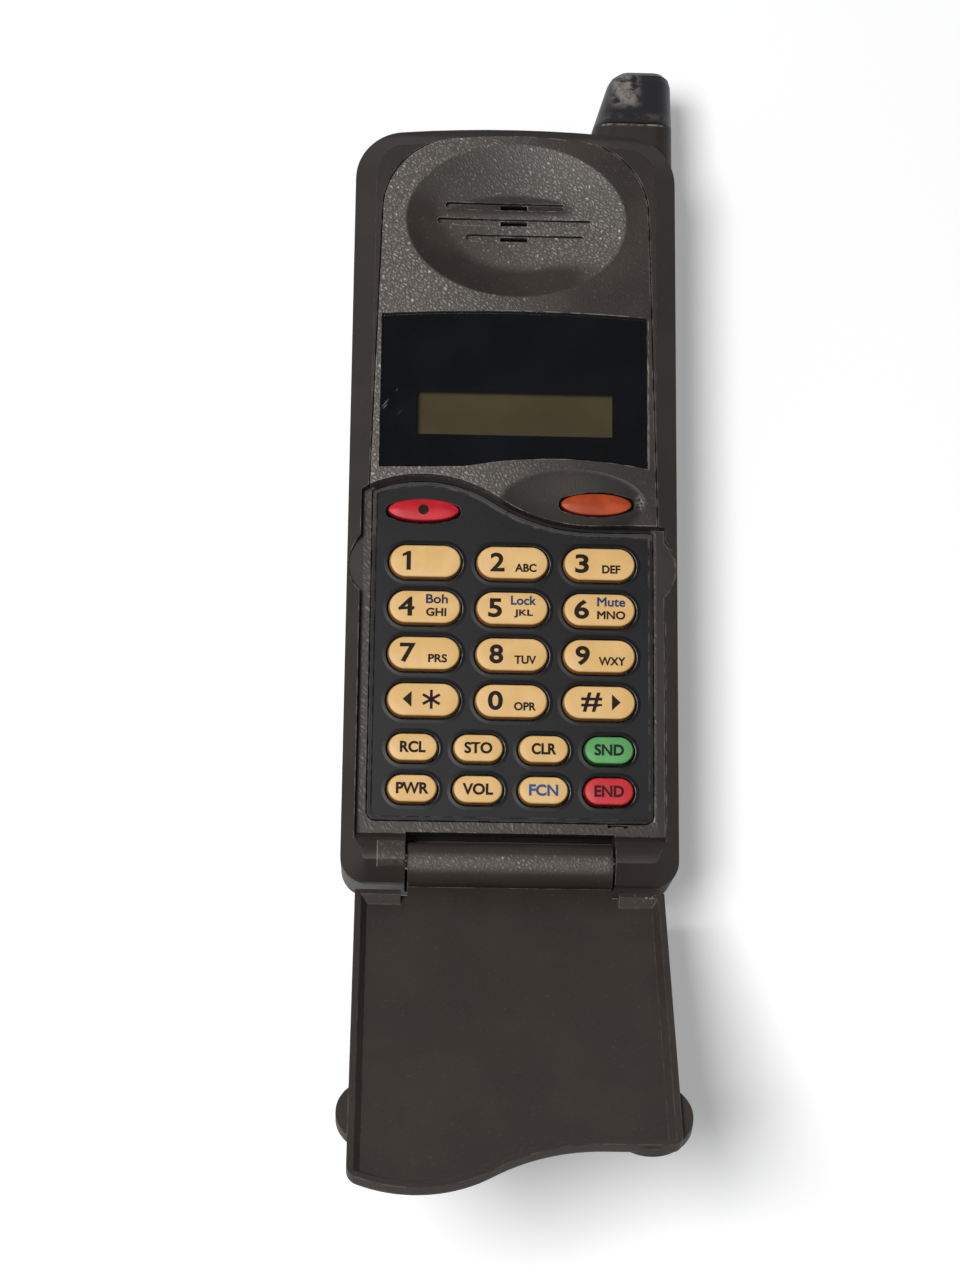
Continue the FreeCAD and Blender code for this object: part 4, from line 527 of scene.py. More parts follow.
def grown(name, tree, **inputs):
    """Runs a geometry tree and keeps its result as a plain mesh piece."""
    holder = placed(name, bpy.data.meshes.new(name))
    modifier = holder.modifiers.new("grow", "NODES")
    modifier.node_group = tree
    for item in tree.interface.items_tree:
        if item.in_out == "INPUT" and item.name in inputs:
            modifier[item.identifier] = inputs[item.name]
    graph = bpy.context.evaluated_depsgraph_get()
    mesh = bpy.data.meshes.new_from_object(holder.evaluated_get(graph), depsgraph=graph)
    holder.modifiers.clear()
    holder.data = mesh
    mesh.name = name
    face_outwards(mesh)
    return holder


def line_object(name, points, closed=False):
    """A curve of straight runs through points, for a geometry tree to read."""
    line = bpy.data.curves.new(name, "CURVE")
    line.dimensions = "3D"
    run = line.splines.new("POLY")
    run.points.add(len(points) - 1)
    for knot, (x, y, z) in zip(run.points, points):
        knot.co = (x * MM, y * MM, z * MM, 1)
    run.use_cyclic_u = closed
    return placed(name, line)


def bar_line(length, height, steps=28):
    """Points round a bar with half-round ends, anticlockwise."""
    radius = height / 2
    points = []
    for side, start in ((1, -90), (-1, 90)):
        for step in range(steps + 1):
            turn = math.radians(start + 180 * step / steps)
            middle = side * (length / 2 - radius)
            points.append((middle + radius * math.cos(turn), radius * math.sin(turn), 0))
    return points


def crown_level(share):
    """The height of a cap's top, from the edge of its crown at a share of 0 to its middle line at 1."""
    return KEY_TOP - KEY_CROWN * (1 - share) ** 3


def cap_profile(height):
    """A cap's section from the middle of its base to the middle of its top, as inset and height."""
    half = height / 2
    shoulder = KEY_TOP - KEY_CROWN - KEY_ROUND
    line = [(half, KEY_BASE), (0.0, KEY_BASE), (0.0, BEZEL_TOP), (KEY_DRAFT, shoulder)]
    for step in range(1, 9):
        turn = step / 8 * math.pi / 2
        inset = KEY_DRAFT + KEY_ROUND * (1 - math.cos(turn))
        line.append((inset, shoulder + KEY_ROUND * math.sin(turn)))
    start = KEY_DRAFT + KEY_ROUND
    for step in range(1, 7):
        share = step / 6
        line.append((start + (half - start) * share, crown_level(share)))
    return line


def cap_surface(size, x, y):
    """The height of a cap's top at a place counted from its centre."""
    length, height = size
    half = height / 2
    off = math.hypot(max(abs(x) - (length / 2 - half), 0), y)
    start = KEY_DRAFT + KEY_ROUND
    return crown_level(min(max((half - off - start) / (half - start), 0), 1))


def facing(tree):
    """The way the surface faces, as its X, Y and Z."""
    normal = add(tree, "ShaderNodeNewGeometry").outputs["Normal"]
    return add(tree, "ShaderNodeSeparateXYZ", {"Vector": normal}).outputs


def let_light_in(shader, weight, reach):
    """Lets some light into the surface, as far as the reach of its red, green and blue."""
    shader.inputs["Subsurface Weight"].default_value = weight
    shader.inputs["Subsurface Radius"].default_value = tuple(shade * MM for shade in reach)
    shader.inputs["Subsurface Scale"].default_value = 1.0


def silicone(name, colour, dark, light):
    """Matt silicone rubber: soft sheen, a little light passing into it, and painted shade on its sides,
    darkest on the side that faces the hinge.
    """
    material, tree, shader, place = plastic(name, colour, 0.42, 1.43)
    let_light_in(shader, 0.12, (1.2, 0.7, 0.4))
    base = blended(tree, between(tree, clouds(tree, place, 5.0), 0.35, 0.7), colour, light)
    height = add(tree, "ShaderNodeSeparateXYZ", {"Vector": place}).outputs["Z"]
    # The cap's sides are painted darker as shade, most on the side facing the hinge.
    foot = between(tree, height, (KEY_TOP - 0.15) * MM, (KEY_TOP - 0.60) * MM)
    painted_shade = between(tree, facing(tree)["Y"], 0.3, -0.5, 0.35, 1.0)
    tint(tree, shader, reckon(tree, "MULTIPLY", foot, painted_shade), base, dark)
    skin(tree, shader, clouds(tree, place, 0.25, 2.0), 0.006)
    return material


peach = silicone("peach_silicone", "#e2b774", "#97683a", "#eac083")
green = silicone("green_silicone", "#579e5a", "#2a5a30", "#64aa63")
red = silicone("red_silicone", "#c92b34", "#6f1419", "#d43a3e")
sweep = sweep_tree()
outlines, sections = {}, {}
for size in (NUMBER_KEY, FUNCTION_KEY):
    outlines[size] = line_object("bar_line", bar_line(*size), closed=True)
    sections[size] = line_object("cap_line", [(-inset, -level, 0) for inset, level in cap_profile(size[1])])
key_places = {}
for word in NUMBERS + FUNCTIONS:
    node = f"key_{word}"
    size = NUMBER_KEY if word in NUMBERS else FUNCTION_KEY
    low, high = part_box(node)
    centre = (low + high) / 2
    inputs = {"Outline": outlines[size], "Section": sections[size], "Centre": (centre.x, centre.y, 0.0)}
    rubber = {"send": green, "end": red}.get(word, peach)
    cap = grown(f"cap_{word}", sweep, Material=rubber, **inputs)
    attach(cap, node)
    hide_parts(node)
    key_places[word] = (centre.x / MM, centre.y / MM, size)

# Each window of the bezel has a fine moulded lip, whose slope at the right faces the lamp and is painted
# bright as a highlight.
LIP_OUT, LIP_WIDE, LIP_HIGH, LIP_SLOPE, LIP_SINK = 0.28, 0.13, 0.06, 0.70, 0.2
lip_pc, tree, shader, place = plastic("highlighted_polycarbonate", "#18181b", 0.4, specular=0.28)
# The slope that faces the lamp is painted bright, in patches, as a highlight.
lightened = between(tree, facing(tree)["X"], -0.28, -0.44)
broken = between(tree, clouds(tree, place, 1.2), 0.30, 0.60)
tint(tree, shader, reckon(tree, "MULTIPLY", lightened, broken), "#131316", "#8f8b86")
lip_points = [(0.0, -LIP_SINK), (0.0, 0.0), (LIP_WIDE, LIP_HIGH), (LIP_SLOPE, 0.0), (LIP_SLOPE, -LIP_SINK)]
lip_points = [(out, -(BEZEL_TOP + rise), 0) for out, rise in lip_points]
lip_section = line_object("lip_line", lip_points, closed=True)
rings = {}
for size in (NUMBER_KEY, FUNCTION_KEY):
    rings[size] = line_object("ring_line", bar_line(*(side + 2 * LIP_OUT for side in size)), closed=True)
for word, (x, y, size) in key_places.items():
    inputs = {"Outline": rings[size], "Section": lip_section, "Centre": (x * MM, y * MM, 0.0)}
    lip = grown(f"window_{word}", sweep, Material=lip_pc, **inputs)
    for face in lip.data.polygons:
        face.use_smooth = False
    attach(lip, "housing")
for line in [*outlines.values(), *sections.values(), *rings.values(), lip_section]:
    bpy.data.objects.remove(line)


# Legends
# Pad-printed ink on the key tops: dark brown digits, letters and words, and the second functions in blue.
# Each key's ink is its own thin piece and moves with the key.

INK_SINK, INK_RISE, INK_STEP = 0.03, 0.03, 0.35
DIGIT_HEIGHT, LETTER_HEIGHT, SECOND_HEIGHT, WORD_HEIGHT = 3.55, 1.55, 1.75, 2.1
# How far the outlines of the letters are moved outwards to make them heavier.
DIGIT_WEIGHT, LETTER_WEIGHT, SECOND_WEIGHT, WORD_WEIGHT, HASH_WEIGHT = 0.14, 0.07, 0.06, 0.10, 0.10
SECOND_RISE = 2.36
# Each mark has its width and its left edge, counted from the key's own.
DIGITS = {
    "1": (1.5, 2.4), "2": (2.6, 2.5), "3": (2.5, 2.1), "4": (2.9, 1.8), "5": (2.5, 2.2),
    "6": (2.7, 1.95), "7": (2.8, 2.2), "8": (2.5, 2.5), "9": (2.6, 2.2), "0": (2.7, 2.3),
}
LETTERS = {
    "2": ("ABC", 3.9, 7.0), "3": ("DEF", 3.3, 7.0), "4": ("GHI", 3.65, 6.8), "5": ("JKL", 3.4, 6.9),
    "6": ("MNO", 5.1, 6.1), "7": ("PRS", 3.4, 7.3), "8": ("TUV", 3.9, 7.0), "9": ("WXY", 4.8, 6.4),
    "0": ("OPR", 3.9, 7.0),
}
SECOND = {"4": ("Boh", 3.95, 6.75), "5": ("Lock", 4.55, 6.3), "6": ("Mute", 5.1, 6.1)}
WORDS = {
    "recall": ("RCL", 4.6), "store": ("STO", 5.0), "clear": ("CLR", 4.4), "send": ("SND", 5.3),
    "power": ("PWR", 5.75), "volume": ("VOL", 5.4), "function": ("FCN", 5.2), "end": ("END", 5.3),
}
# The outlines of the digit one and of the arrows beside the star and the hash.
ONE = [(0.72, 0), (1.5, 0), (1.5, 3.55), (0.95, 3.55), (0, 3.0), (0, 2.5), (0.72, 2.8)]
LEFT_ARROW, LEFT_ARROW_PLACE = [(-0.8, 0), (0.8, -1.45), (0.8, 1.45)], -2.9
RIGHT_ARROW, RIGHT_ARROW_PLACE = [(-0.78, -1.5), (0.78, 0), (-0.78, 1.5)], 3.0
STAR_RADIUS, STAR_STROKE, STAR_PLACE = 1.75, 0.5, 1.43
HASH_SIZE, HASH_CORNER = (3.75, 3.55), (-3.3, -1.78)
WELD = 1e-4


def pad_ink(name, colour, thin_colour):
    """Matt pad-printing ink that the key's colour shows through where it is thin."""
    material, tree, shader, place = plastic(name, colour, 0.6, 1.5, specular=0.2)
    tint(tree, shader, between(tree, clouds(tree, place, 0.8), 0.55, 0.8), colour, thin_colour)
    return material


brown_ink = pad_ink("brown_pad_ink", "#1c110b", "#3a281c")
blue_ink = pad_ink("blue_pad_ink", "#263868", "#46547e")
bright_blue_ink = pad_ink("bright_blue_pad_ink", "#2c5288", "#527199")
navy_ink = pad_ink("navy_pad_ink", "#232b52", "#3c4468")
green_ink = pad_ink("dark_green_pad_ink", "#10241a", "#20402c")
red_ink = pad_ink("dark_red_pad_ink", "#3e0b10", "#5a171c")


def word_mesh(text, height, width, heavier):
    """A word as a flat mesh, as tall and wide as given, from its lower left corner. Its strokes are made
    heavier by moving their outline outwards."""
    curve = bpy.data.curves.new(text, "FONT")
    curve.body = text
    curve.resolution_u = 5
    holder = placed(text, curve)
    graph = bpy.context.evaluated_depsgraph_get()
    mesh = bpy.data.meshes.new_from_object(holder.evaluated_get(graph), depsgraph=graph)
    bpy.data.objects.remove(holder)
    shape = bmesh.new()
    shape.from_mesh(mesh)
    bmesh.ops.remove_doubles(shape, verts=shape.verts, dist=WELD)
    xs = [vertex.co.x for vertex in shape.verts]
    ys = [vertex.co.y for vertex in shape.verts]
    left, foot = min(xs), min(ys)
    wide, tall = max(xs) - left, max(ys) - foot
    for vertex in shape.verts:
        vertex.co.x = (vertex.co.x - left) / wide * (width - 2 * heavier) + heavier
        vertex.co.y = (vertex.co.y - foot) / tall * (height - 2 * heavier) + heavier
    moves = []
    for vertex in shape.verts:
        outward = []
        for edge in vertex.link_edges:
            if edge.is_boundary:
                run = edge.other_vert(vertex).co - vertex.co
                across = Vector((run.y, -run.x, 0)).normalized()
                inward = edge.link_faces[0].calc_center_median() - vertex.co
                outward.append(-across if across.dot(inward) > 0 else across)
        if len(outward) == 2:
            spread = max(1 + outward[0].dot(outward[1]), 0.6)
            moves.append((vertex, (outward[0] + outward[1]) * (heavier / spread)))
    for vertex, move in moves:
        vertex.co += move
    shape.to_mesh(mesh)
    shape.free()
    return mesh


def polygon_mesh(loop):
    """A flat mesh of one face."""
    mesh = bpy.data.meshes.new("mark")
    mesh.from_pydata([(x, y, 0) for x, y in loop], [], [tuple(range(len(loop)))])
    return mesh


def star_bars():
    """The three bars that cross in the star, as a loop each."""
    bars = []
    for turn in (90, 30, 150):
        angle = math.radians(turn)
        along = Vector((math.cos(angle), math.sin(angle)))
        across = Vector((-along.y, along.x)) * STAR_STROKE / 2
        along = along * STAR_RADIUS
        bars.append([tuple(along * a + across * b) for a, b in ((1, 1), (-1, 1), (-1, -1), (1, -1))])
    return bars


def print_on(word, marks):
    """Lays flat marks on a key's crowned top as ink: each is a mesh, its lower left place and its ink."""
    x0, y0, size = key_places[word]
    shape = bmesh.new()
    inks = []
    for mesh, left, foot, ink in marks:
        if ink not in inks:
            inks.append(ink)
        part = bmesh.new()
        part.from_mesh(mesh)
        bmesh.ops.remove_doubles(part, verts=part.verts, dist=WELD)
        rows = int(max(abs(vertex.co.y) for vertex in part.verts) / INK_STEP)
        for row in range(-rows, rows + 1):
            whole = list(part.verts) + list(part.edges) + list(part.faces)
            cut = (0, row * INK_STEP, 0)
            bmesh.ops.bisect_plane(part, geom=whole, dist=1e-5, plane_co=cut, plane_no=(0, 1, 0))
        base = list(part.faces)
        for face in base:
            if face.normal.z > 0:
                face.normal_flip()
        lifted = bmesh.ops.extrude_face_region(part, geom=base, use_keep_orig=True)
        tops = {item for item in lifted["geom"] if isinstance(item, bmesh.types.BMVert)}
        for vertex in part.verts:
            x, y = vertex.co.x + left, vertex.co.y + foot
            level = cap_surface(size, x, y) + (INK_RISE if vertex in tops else -INK_SINK)
            vertex.co = ((x0 + x) * MM, (y0 + y) * MM, level * MM)
        bmesh.ops.recalc_face_normals(part, faces=part.faces)
        for face in part.faces:
            face.material_index = inks.index(ink)
        part.to_mesh(mesh)
        part.free()
        shape.from_mesh(mesh)
        bpy.data.meshes.remove(mesh)
    whole_mesh = bpy.data.meshes.new(f"ink_{word}")
    shape.to_mesh(whole_mesh)
    shape.free()
    for ink in inks:
        whole_mesh.materials.append(ink)
    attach(placed(f"ink_{word}", whole_mesh), f"key_{word}")


key_left, foot = -NUMBER_KEY[0] / 2, -DIGIT_HEIGHT / 2
for word in NUMBERS:
    marks = []
    if word in DIGITS:
        width, left = DIGITS[word]
        digit = polygon_mesh(ONE) if word == "1" else word_mesh(word, DIGIT_HEIGHT, width, DIGIT_WEIGHT)
        marks.append((digit, key_left + left, foot, brown_ink))
    if word in LETTERS:
        text, width, left = LETTERS[word]
        letters = word_mesh(text, LETTER_HEIGHT, width, LETTER_WEIGHT)
        marks.append((letters, key_left + left, foot, brown_ink))
    if word in SECOND:
        text, width, left = SECOND[word]
        second = word_mesh(text, SECOND_HEIGHT, width, SECOND_WEIGHT)
        marks.append((second, key_left + left, foot + SECOND_RISE, navy_ink if word == "4" else blue_ink))
    if word == "star":
        marks.append((polygon_mesh(LEFT_ARROW), LEFT_ARROW_PLACE, 0.0, brown_ink))
        for bar in star_bars():
            marks.append((polygon_mesh(bar), STAR_PLACE, 0.0, brown_ink))
    if word == "hash":
        width, height = HASH_SIZE
        marks.append((word_mesh("#", height, width, HASH_WEIGHT), *HASH_CORNER, brown_ink))
        marks.append((polygon_mesh(RIGHT_ARROW), RIGHT_ARROW_PLACE, 0.0, brown_ink))
    print_on(word, marks)
for word in FUNCTIONS:
    ink = {"function": bright_blue_ink, "send": green_ink, "end": red_ink}.get(word, brown_ink)
    text, width = WORDS[word]
    print_on(word, [(word_mesh(text, WORD_HEIGHT, width, WORD_WEIGHT), -width / 2, -WORD_HEIGHT / 2, ink)])


# Oval buttons
# Glossier hard caps: the red one in the bezel carries a dark dot, the orange one stands in the thumb dish
# of the face panel.

BUTTON_LENGTH, BUTTON_HEIGHT, BUTTON_CROWN = 13.0, 4.2, 0.2
DOT_RADIUS, DOT_SINK, DOT_RISE, DOT_STEPS = 0.95, 0.25, 0.02, 32


def oval_line(length, height, steps=64):
    """An oval of two flat arcs with small round tips."""
    points = []
    for step in range(steps):
        turn = 2 * math.pi * step / steps
        x = math.copysign(abs(math.cos(turn)) ** 0.86, math.cos(turn)) * length / 2
        y = math.copysign(abs(math.sin(turn)) ** 1.08, math.sin(turn)) * height / 2
        points.append((x, y))
    return points


def lofted(name, rings, material):
    """A closed skin through rings of the same number of points, with both ends filled."""
    count = len(rings[0])
    points = [(x * MM, y * MM, z * MM) for ring in rings for x, y, z in ring]
    faces = []
    for start in range(0, len(points) - count, count):
        for step in range(count):
            a, b = start + step, start + (step + 1) % count
            faces.append((a, b, b + count, a + count))
    faces.append(tuple(range(count - 1, -1, -1)))
    faces.append(tuple(range(len(points) - count, len(points))))
    mesh = bpy.data.meshes.new(name)
    mesh.from_pydata(points, [], faces)
    mesh.materials.append(material)
    for face in mesh.polygons:
        face.use_smooth = True
    face_outwards(mesh)
    return placed(name, mesh)


def button_cap(name, node, material):
    """An oval cap with a soft crown in place of a button's solid. Returns the middle of its top."""
    low, high = (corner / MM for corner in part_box(node))
    centre = (low + high) / 2
    top, edge = high.z, high.z - BUTTON_CROWN
    outline = oval_line(BUTTON_LENGTH, BUTTON_HEIGHT)
    rings = []
    for inset, level in (
        (0.0, KEY_BASE), (0.0, edge - 0.60), (0.08, edge - 0.20), (0.17, edge - 0.07), (0.28, edge),
        (0.45, top - BUTTON_CROWN * 0.90), (0.8, top - BUTTON_CROWN * 0.60),
        (1.2, top - BUTTON_CROWN * 0.30), (1.6, top - BUTTON_CROWN * 0.08), (1.9, top),
    ):
        across, along = 1 - inset / (BUTTON_LENGTH / 2), 1 - inset / (BUTTON_HEIGHT / 2)
        rings.append([(centre.x + x * across, centre.y + y * along, level) for x, y in outline])
    made = lofted(name, rings, material)
    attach(made, node)
    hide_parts(node)
    return centre.x, centre.y, top


def hard_gloss(name, colour, dark, light, side_shade):
    """Coloured ABS with a soft gloss. Its steep rim is painted darker as shade."""
    material, tree, shader, place = plastic(name, colour, 0.42, 1.5, specular=0.3)
    let_light_in(shader, 0.08, (1.0, 0.5, 0.4))
    base = blended(tree, between(tree, clouds(tree, place, 4.0), 0.35, 0.7), dark, light)
    # Painted shade: the steep rim is darker than the top.
    tint(tree, shader, between(tree, facing(tree)["Z"], 0.80, 0.30), base, side_shade)
    skin(tree, shader, clouds(tree, place, 0.3, 2.0), 0.006)
    return material


red_abs = hard_gloss("red_abs", "#c81e2a", "#bd1a27", "#d02732", "#7c1119")
orange_abs = hard_gloss("orange_abs", "#ae441f", "#a33d1b", "#b84c25", "#5f210e")
x0, y0, red_top = button_cap("cap_red", "red_button", red_abs)
button_cap("cap_orange", "orange_button", orange_abs)
dot = []
for level in (red_top - DOT_SINK, red_top + DOT_RISE):
    turns = [2 * math.pi * step / DOT_STEPS for step in range(DOT_STEPS)]
    dot.append([(x0 + DOT_RADIUS * math.cos(t), y0 + DOT_RADIUS * math.sin(t), level) for t in turns])
red_dot = lofted("ink_red_dot", dot, brown_ink)
for face in red_dot.data.polygons:
    face.use_smooth = False
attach(red_dot, "red_button")


# Antenna
# A rubber cap moulded over a steel whip, which slides through a turned brass bush in the tower of the rear
# housing. The cap is scuffed pale where it was pulled.

SCUFF = "#b0a69e"
cap_rubber, tree, shader, place = plastic("moulded_rubber", "#26242a", 0.5, 1.52)
patches = between(tree, clouds(tree, place, 1.7, 6.0, 0.7), 0.40, 0.58)
pulled = inside(tree, place, (18.6, 99.0, 15.0), (23.4, 106.6, None), 1.3)
scuffed = reckon(tree, "MULTIPLY", patches, pulled)
base = blended(tree, reckon(tree, "MULTIPLY", scuffed, 0.5), "#272629", SCUFF)
foot = inside(tree, place, (14.0, 96.2, 15.0), (None, 96.8, None), 1.0)
foot = reckon(tree, "MULTIPLY", foot, between(tree, clouds(tree, place, 2.4, 6.0, 0.75), 0.44, 0.62))
base = blended(tree, reckon(tree, "MULTIPLY", foot, 0.25), base, SCUFF)
seam = inside(tree, place, (None, 94.0, None), (None, 95.3, None), 0.15)
tint(tree, shader, reckon(tree, "MULTIPLY", seam, 0.8), base, "#0f0e0f")
tree.links.new(between(tree, scuffed, 0.0, 1.0, 0.36, 0.7), shader.inputs["Roughness"])
skin(tree, shader, clouds(tree, place, 0.5, 4.0), 0.03)
finish(cap_rubber, "antenna_cap")

whip_steel, tree, shader, place = plastic("drawn_steel", "#b8b8b4", 0.28, 1.5, 1.0)
drawn = add(tree, "ShaderNodeMapping", {"Vector": place, "Scale": (1.0, 0.05, 1.0)}).outputs["Vector"]
lines = clouds(tree, drawn, 0.12, 2.0)
tint(tree, shader, lines, "#a9a9a5", "#c9c9c5")
tree.links.new(between(tree, lines, 0.3, 0.7, 0.22, 0.36), shader.inputs["Roughness"])
finish(whip_steel, "antenna_whip")


def turned(name, colour, dark, light, roughness):
    """Metal turned on a lathe or pressed from strip: tool marks, drawn as coarse as they need to show, and
    a little tarnish."""
    material, tree, shader, place = plastic(name, colour, roughness, 1.5, 1.0)
    tint(tree, shader, between(tree, clouds(tree, place, 2.0, 4.0), 0.35, 0.7), dark, light)
    fine = clouds(tree, place, 0.15, 2.0)
    rough = between(tree, fine, 0.3, 0.7, roughness - 0.06, roughness + 0.08)
    tree.links.new(rough, shader.inputs["Roughness"])
    skin(tree, shader, fine, 0.004)
    return material


brass = turned("turned_brass", "#c8a45c", "#b08c48", "#d8b56c", 0.3)
steel = turned("turned_steel", "#b4b2ae", "#9c9a96", "#c6c4c0", 0.32)
finish(brass, "antenna_stopper", "antenna_bush", "antenna_socket", "battery_contacts", "contact_springs")
guide, tree, shader, place = plastic("extruded_acetal", "#e6e2d6", 0.4, 1.48)
tint(tree, shader, clouds(tree, place, 3.0), "#dcd8cc", "#ece8dc")
finish(guide, "antenna_tube")


# Flip and hinge
# The flip is one moulding with its barrel: a shallow tray with a rim, and two ears for the fingertips. It
# turns on a steel shaft between the knuckles, and wave washers on the shaft hold it at any angle.


def barrel_grain_and_glints(tree, place):
    """Where the grain and its painted glints show: a band along the barrel that catches the lamp, which
    shows between the knuckles when the flip is open.
    """
    band = inside(tree, place, (-17.6, -50.2, 23.5), (17.6, -47.3, 27.0), 0.6)
    return reckon(tree, "MULTIPLY", band, 0.85)


def flip_wear(tree, place):
    """Scuffs at the right ear and along the right of the tip."""
    ear = inside(tree, place, (21.5, -55.2, None), (26.5, -53.6, None), 0.4)
    tip = inside(tree, place, (12.0, None, 57.5), (26.0, None, None), 0.8)
    spots = between(tree, clouds(tree, place, 0.6), 0.60, 0.70)
    return reckon(tree, "MULTIPLY", reckon(tree, "MAXIMUM", ear, tip), spots)


flip_abs = moulded(
    "satin_abs", "#3a332e", "#352e2a", "#b9aea2", 0.50, barrel_grain_and_glints, 0.65, 0.08, flip_wear, edges=0.20
)
finish(flip_abs, "flip_door")
finish(steel, "hinge_shaft", "hinge_washers", "housing_screws", "latch_spring")
acetal, tree, shader, place = plastic("moulded_acetal", "#dedbd2", 0.42, 1.48)
tint(tree, shader, clouds(tree, place, 2.0), "#d4d1c8", "#e6e3da")
finish(acetal, "hinge_cam")
magnet = turned("sintered_magnet", "#8c8c90", "#7c7c80", "#9a9a9e", 0.45)
finish(magnet, "flip_magnet")


# Inside: boards, keypad membrane, speaker, microphone and ringer
# Two glass-fibre boards with a tinned shield between them, a silicone membrane under the keys, and the
# bought parts that such a phone carries.

membrane, tree, shader, place = plastic("translucent_silicone", "#c9cbc4", 0.5, 1.43)
tint(tree, shader, clouds(tree, place, 4.0), "#bfc1ba", "#d3d5ce")
skin(tree, shader, clouds(tree, place, 0.3, 2.0), 0.01)
finish(membrane, "keypad_membrane")
board, tree, shader, place = plastic("solder_masked_laminate", "#1f5a3a", 0.35, 1.55)
tracks = {"Vector": place, "Scale": 1 / (9 * MM), "Mortar Size": 0.03}
for name, colour in (("Color1", "#1f5a3a"), ("Color2", "#24633f"), ("Mortar", "#3f8a55")):
    tracks[name] = hex_colour(colour)
tracks = add(tree, "ShaderNodeTexBrick", tracks, offset=0.37).outputs["Color"]
weave = clouds(tree, place, 0.5, 2.0)
tint(tree, shader, reckon(tree, "MULTIPLY", weave, 0.3), tracks, "#2c6a45")
skin(tree, shader, weave, 0.01)
finish(board, "logic_board", "radio_board")
tin = turned("tinned_steel", "#bdbdb8", "#a6a6a2", "#cdcdc8", 0.34)
finish(tin, "shield_can", "duplexer", "microphone")
black_nylon = moulded("glass_filled_nylon", "#1f1f20", "#19191a", "#4c4c4c", 0.5, depth=0.02)
finish(black_nylon, "earpiece_speaker", "ringer", "board_connector", "accessory_connector")
foam, tree, shader, place = plastic("foam_rubber", "#2d2c2b", 0.9, 1.45)
tint(tree, shader, clouds(tree, place, 0.6), "#242322", "#3a3937")
skin(tree, shader, clouds(tree, place, 0.5, 2.0), 0.08)
finish(foam, "earpiece_gasket")
reed_glass, tree, shader, place = plastic("green_soda_glass", "#9fb8a4", 0.08, 1.52)
shader.inputs["Transmission Weight"].default_value = 0.6
tree.links.new(between(tree, clouds(tree, place, 1.0), 0.3, 0.7, 0.05, 0.12), shader.inputs["Roughness"])
finish(reed_glass, "reed_switch")


# Battery
# A flat nickel pack in a two-part ABS case that slides onto the back of the phone. A sprung latch at its
# upper end catches the rear housing.

battery_abs = moulded("battery_abs", "#403a35", "#352f2b", "#857b70", 0.48)
finish(battery_abs, "battery_cover", "battery_case", "battery_latch")
cell_can = turned("drawn_aluminium", "#b9bcc0", "#a7aaae", "#c8cbcf", 0.3)
finish(cell_can, "battery_cells")


# The room
# A white table in soft light: a large lamp high at the upper left, as in the photograph, and pale light
# from all round, which is darker overhead.

# The floor's half width and how far it lies below the phone, in metres.
FLOOR_REACH, FLOOR_DROP = 3.0, 0.0002
TABLE_GLOW = 0.26


def seen_as(tree, plain, bright, output):
    """The camera sees the bright shader, and the object is lit by the plain one. The plain one is also what
    the object reflects, because a white room turns the black lens grey."""
    seen = add(tree, "ShaderNodeLightPath").outputs["Is Camera Ray"]
    chosen = add(tree, "ShaderNodeMixShader", {0: seen, 1: plain, 2: bright})
    tree.links.new(chosen.outputs["Shader"], tree.nodes[output].inputs["Surface"])


floor_mesh = bpy.data.meshes.new("floor")
corners = [(x * FLOOR_REACH, y * FLOOR_REACH, 0) for x, y in ((-1, -1), (1, -1), (1, 1), (-1, 1))]
floor_mesh.from_pydata(corners, [], [(0, 1, 2, 3)])
floor = placed("floor", floor_mesh)
floor.location.z = -FLOOR_DROP
table_paint, tree, shader, place = plastic("white_table", "#f2f2f2", 1.0, 1.5, specular=0.0)
glow = add(tree, "ShaderNodeEmission", {"Color": hex_colour("#ffffff"), "Strength": TABLE_GLOW})
matt = shader.outputs["BSDF"]
bright = add(tree, "ShaderNodeAddShader", {0: matt, 1: glow.outputs["Emission"]})
seen_as(tree, matt, bright.outputs["Shader"], "Material Output")
floor_mesh.materials.append(table_paint)

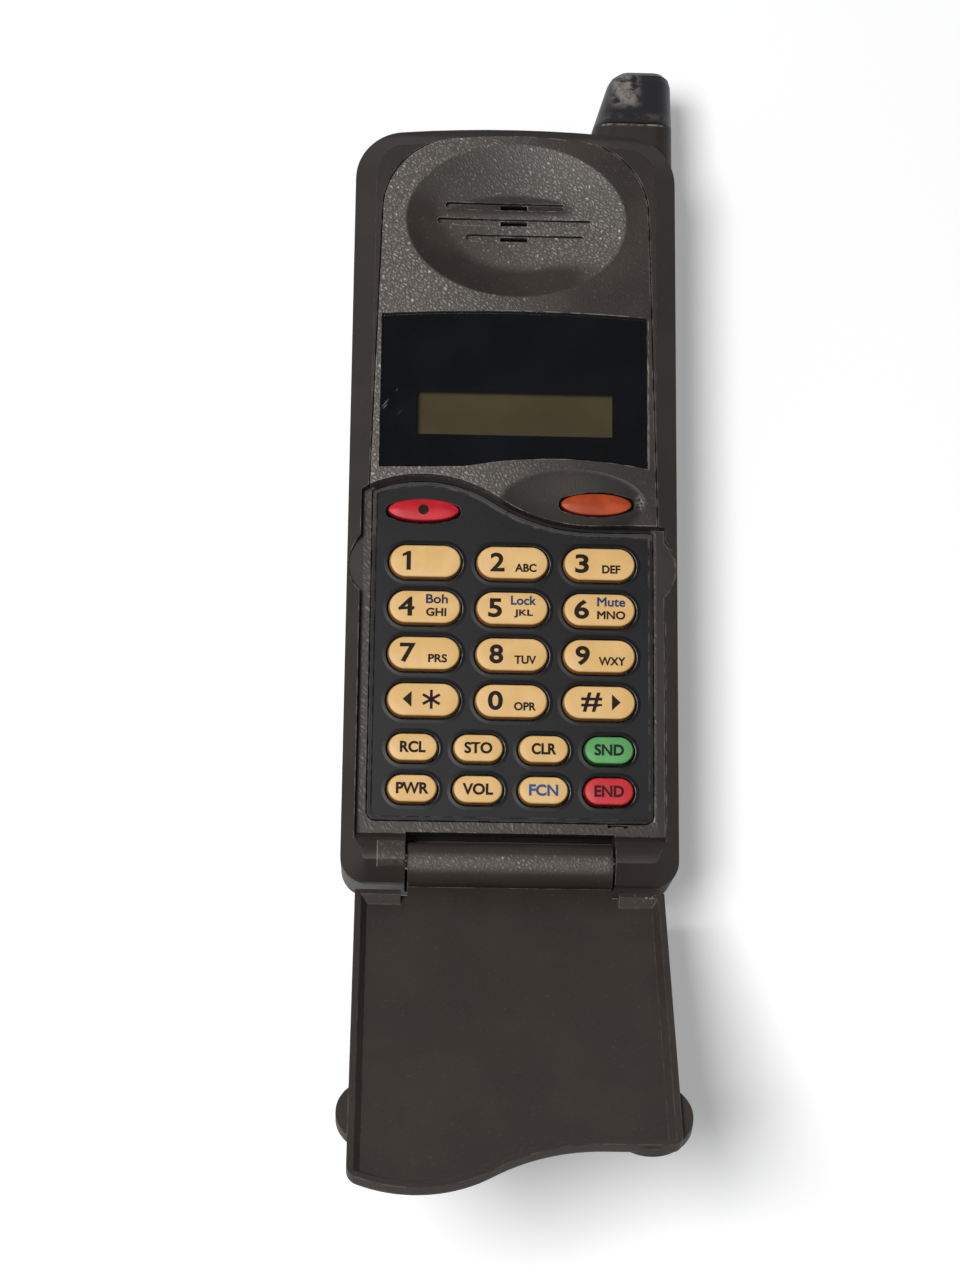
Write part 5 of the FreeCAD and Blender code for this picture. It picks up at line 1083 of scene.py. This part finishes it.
world = bpy.data.worlds.new("room")
bpy.context.scene.world = world
world.use_nodes = True
tree = world.node_tree
soft_light = tree.nodes["Background"]
soft_light.inputs["Color"].default_value = hex_colour("#f4f6fa")
compass = add(tree, "ShaderNodeTexCoord").outputs["Generated"]
rise = add(tree, "ShaderNodeSeparateXYZ", {"Vector": compass}).outputs["Z"]
tree.links.new(between(tree, rise, 0.1, 0.85, 0.42, 0.07), soft_light.inputs["Strength"])
white_wall = add(tree, "ShaderNodeBackground", {"Color": hex_colour("#ffffff"), "Strength": 1.0})
seen_as(tree, soft_light.outputs["Background"], white_wall.outputs["Background"], "World Output")


def lamp(name, place, aim, size, power):
    """A square lamp in metres and watts, turned to face a point."""
    light = bpy.data.lights.new(name, "AREA")
    light.shape = "SQUARE"
    light.size = size
    light.energy = power
    made = placed(name, light)
    made.location = place
    made.rotation_euler = (Vector(aim) - Vector(place)).to_track_quat("-Z", "Y").to_euler()


lamp("window_lamp", (-0.38, -0.10, 1.05), (0.0, 0.0, 0.0), 0.40, 10.5)


# The camera
# It looks down on the phone from below its middle, as the photograph was taken. Its turns are in radians.

TILT, YAW, ROLL = -0.24836, 0.03035, -0.01118
SIDE, RISE, DISTANCE = 5.655, 14.579, 506.51
AIM = Vector((-0.33, 6.67, 26.0))
FOCUS_PIXELS, PHOTO_HEIGHT = 2806.1, 1280
SENSOR = 36.0
turn = Matrix.Rotation(ROLL, 3, "Z") @ Matrix.Rotation(TILT, 3, "X") @ Matrix.Rotation(YAW, 3, "Y")
camera_data = bpy.data.cameras.new("camera")
camera_data.sensor_width = SENSOR
camera_data.lens = SENSOR * FOCUS_PIXELS / PHOTO_HEIGHT
camera_data.clip_start, camera_data.clip_end = 0.01, 20.0
camera = placed("camera", camera_data)
eye = (AIM + turn.transposed() @ Vector((-SIDE, -RISE, DISTANCE))) * MM
camera.matrix_world = Matrix.Translation(eye) @ turn.transposed().to_4x4()
bpy.context.scene.camera = camera

bpy.context.scene.view_settings.view_transform = "Standard"
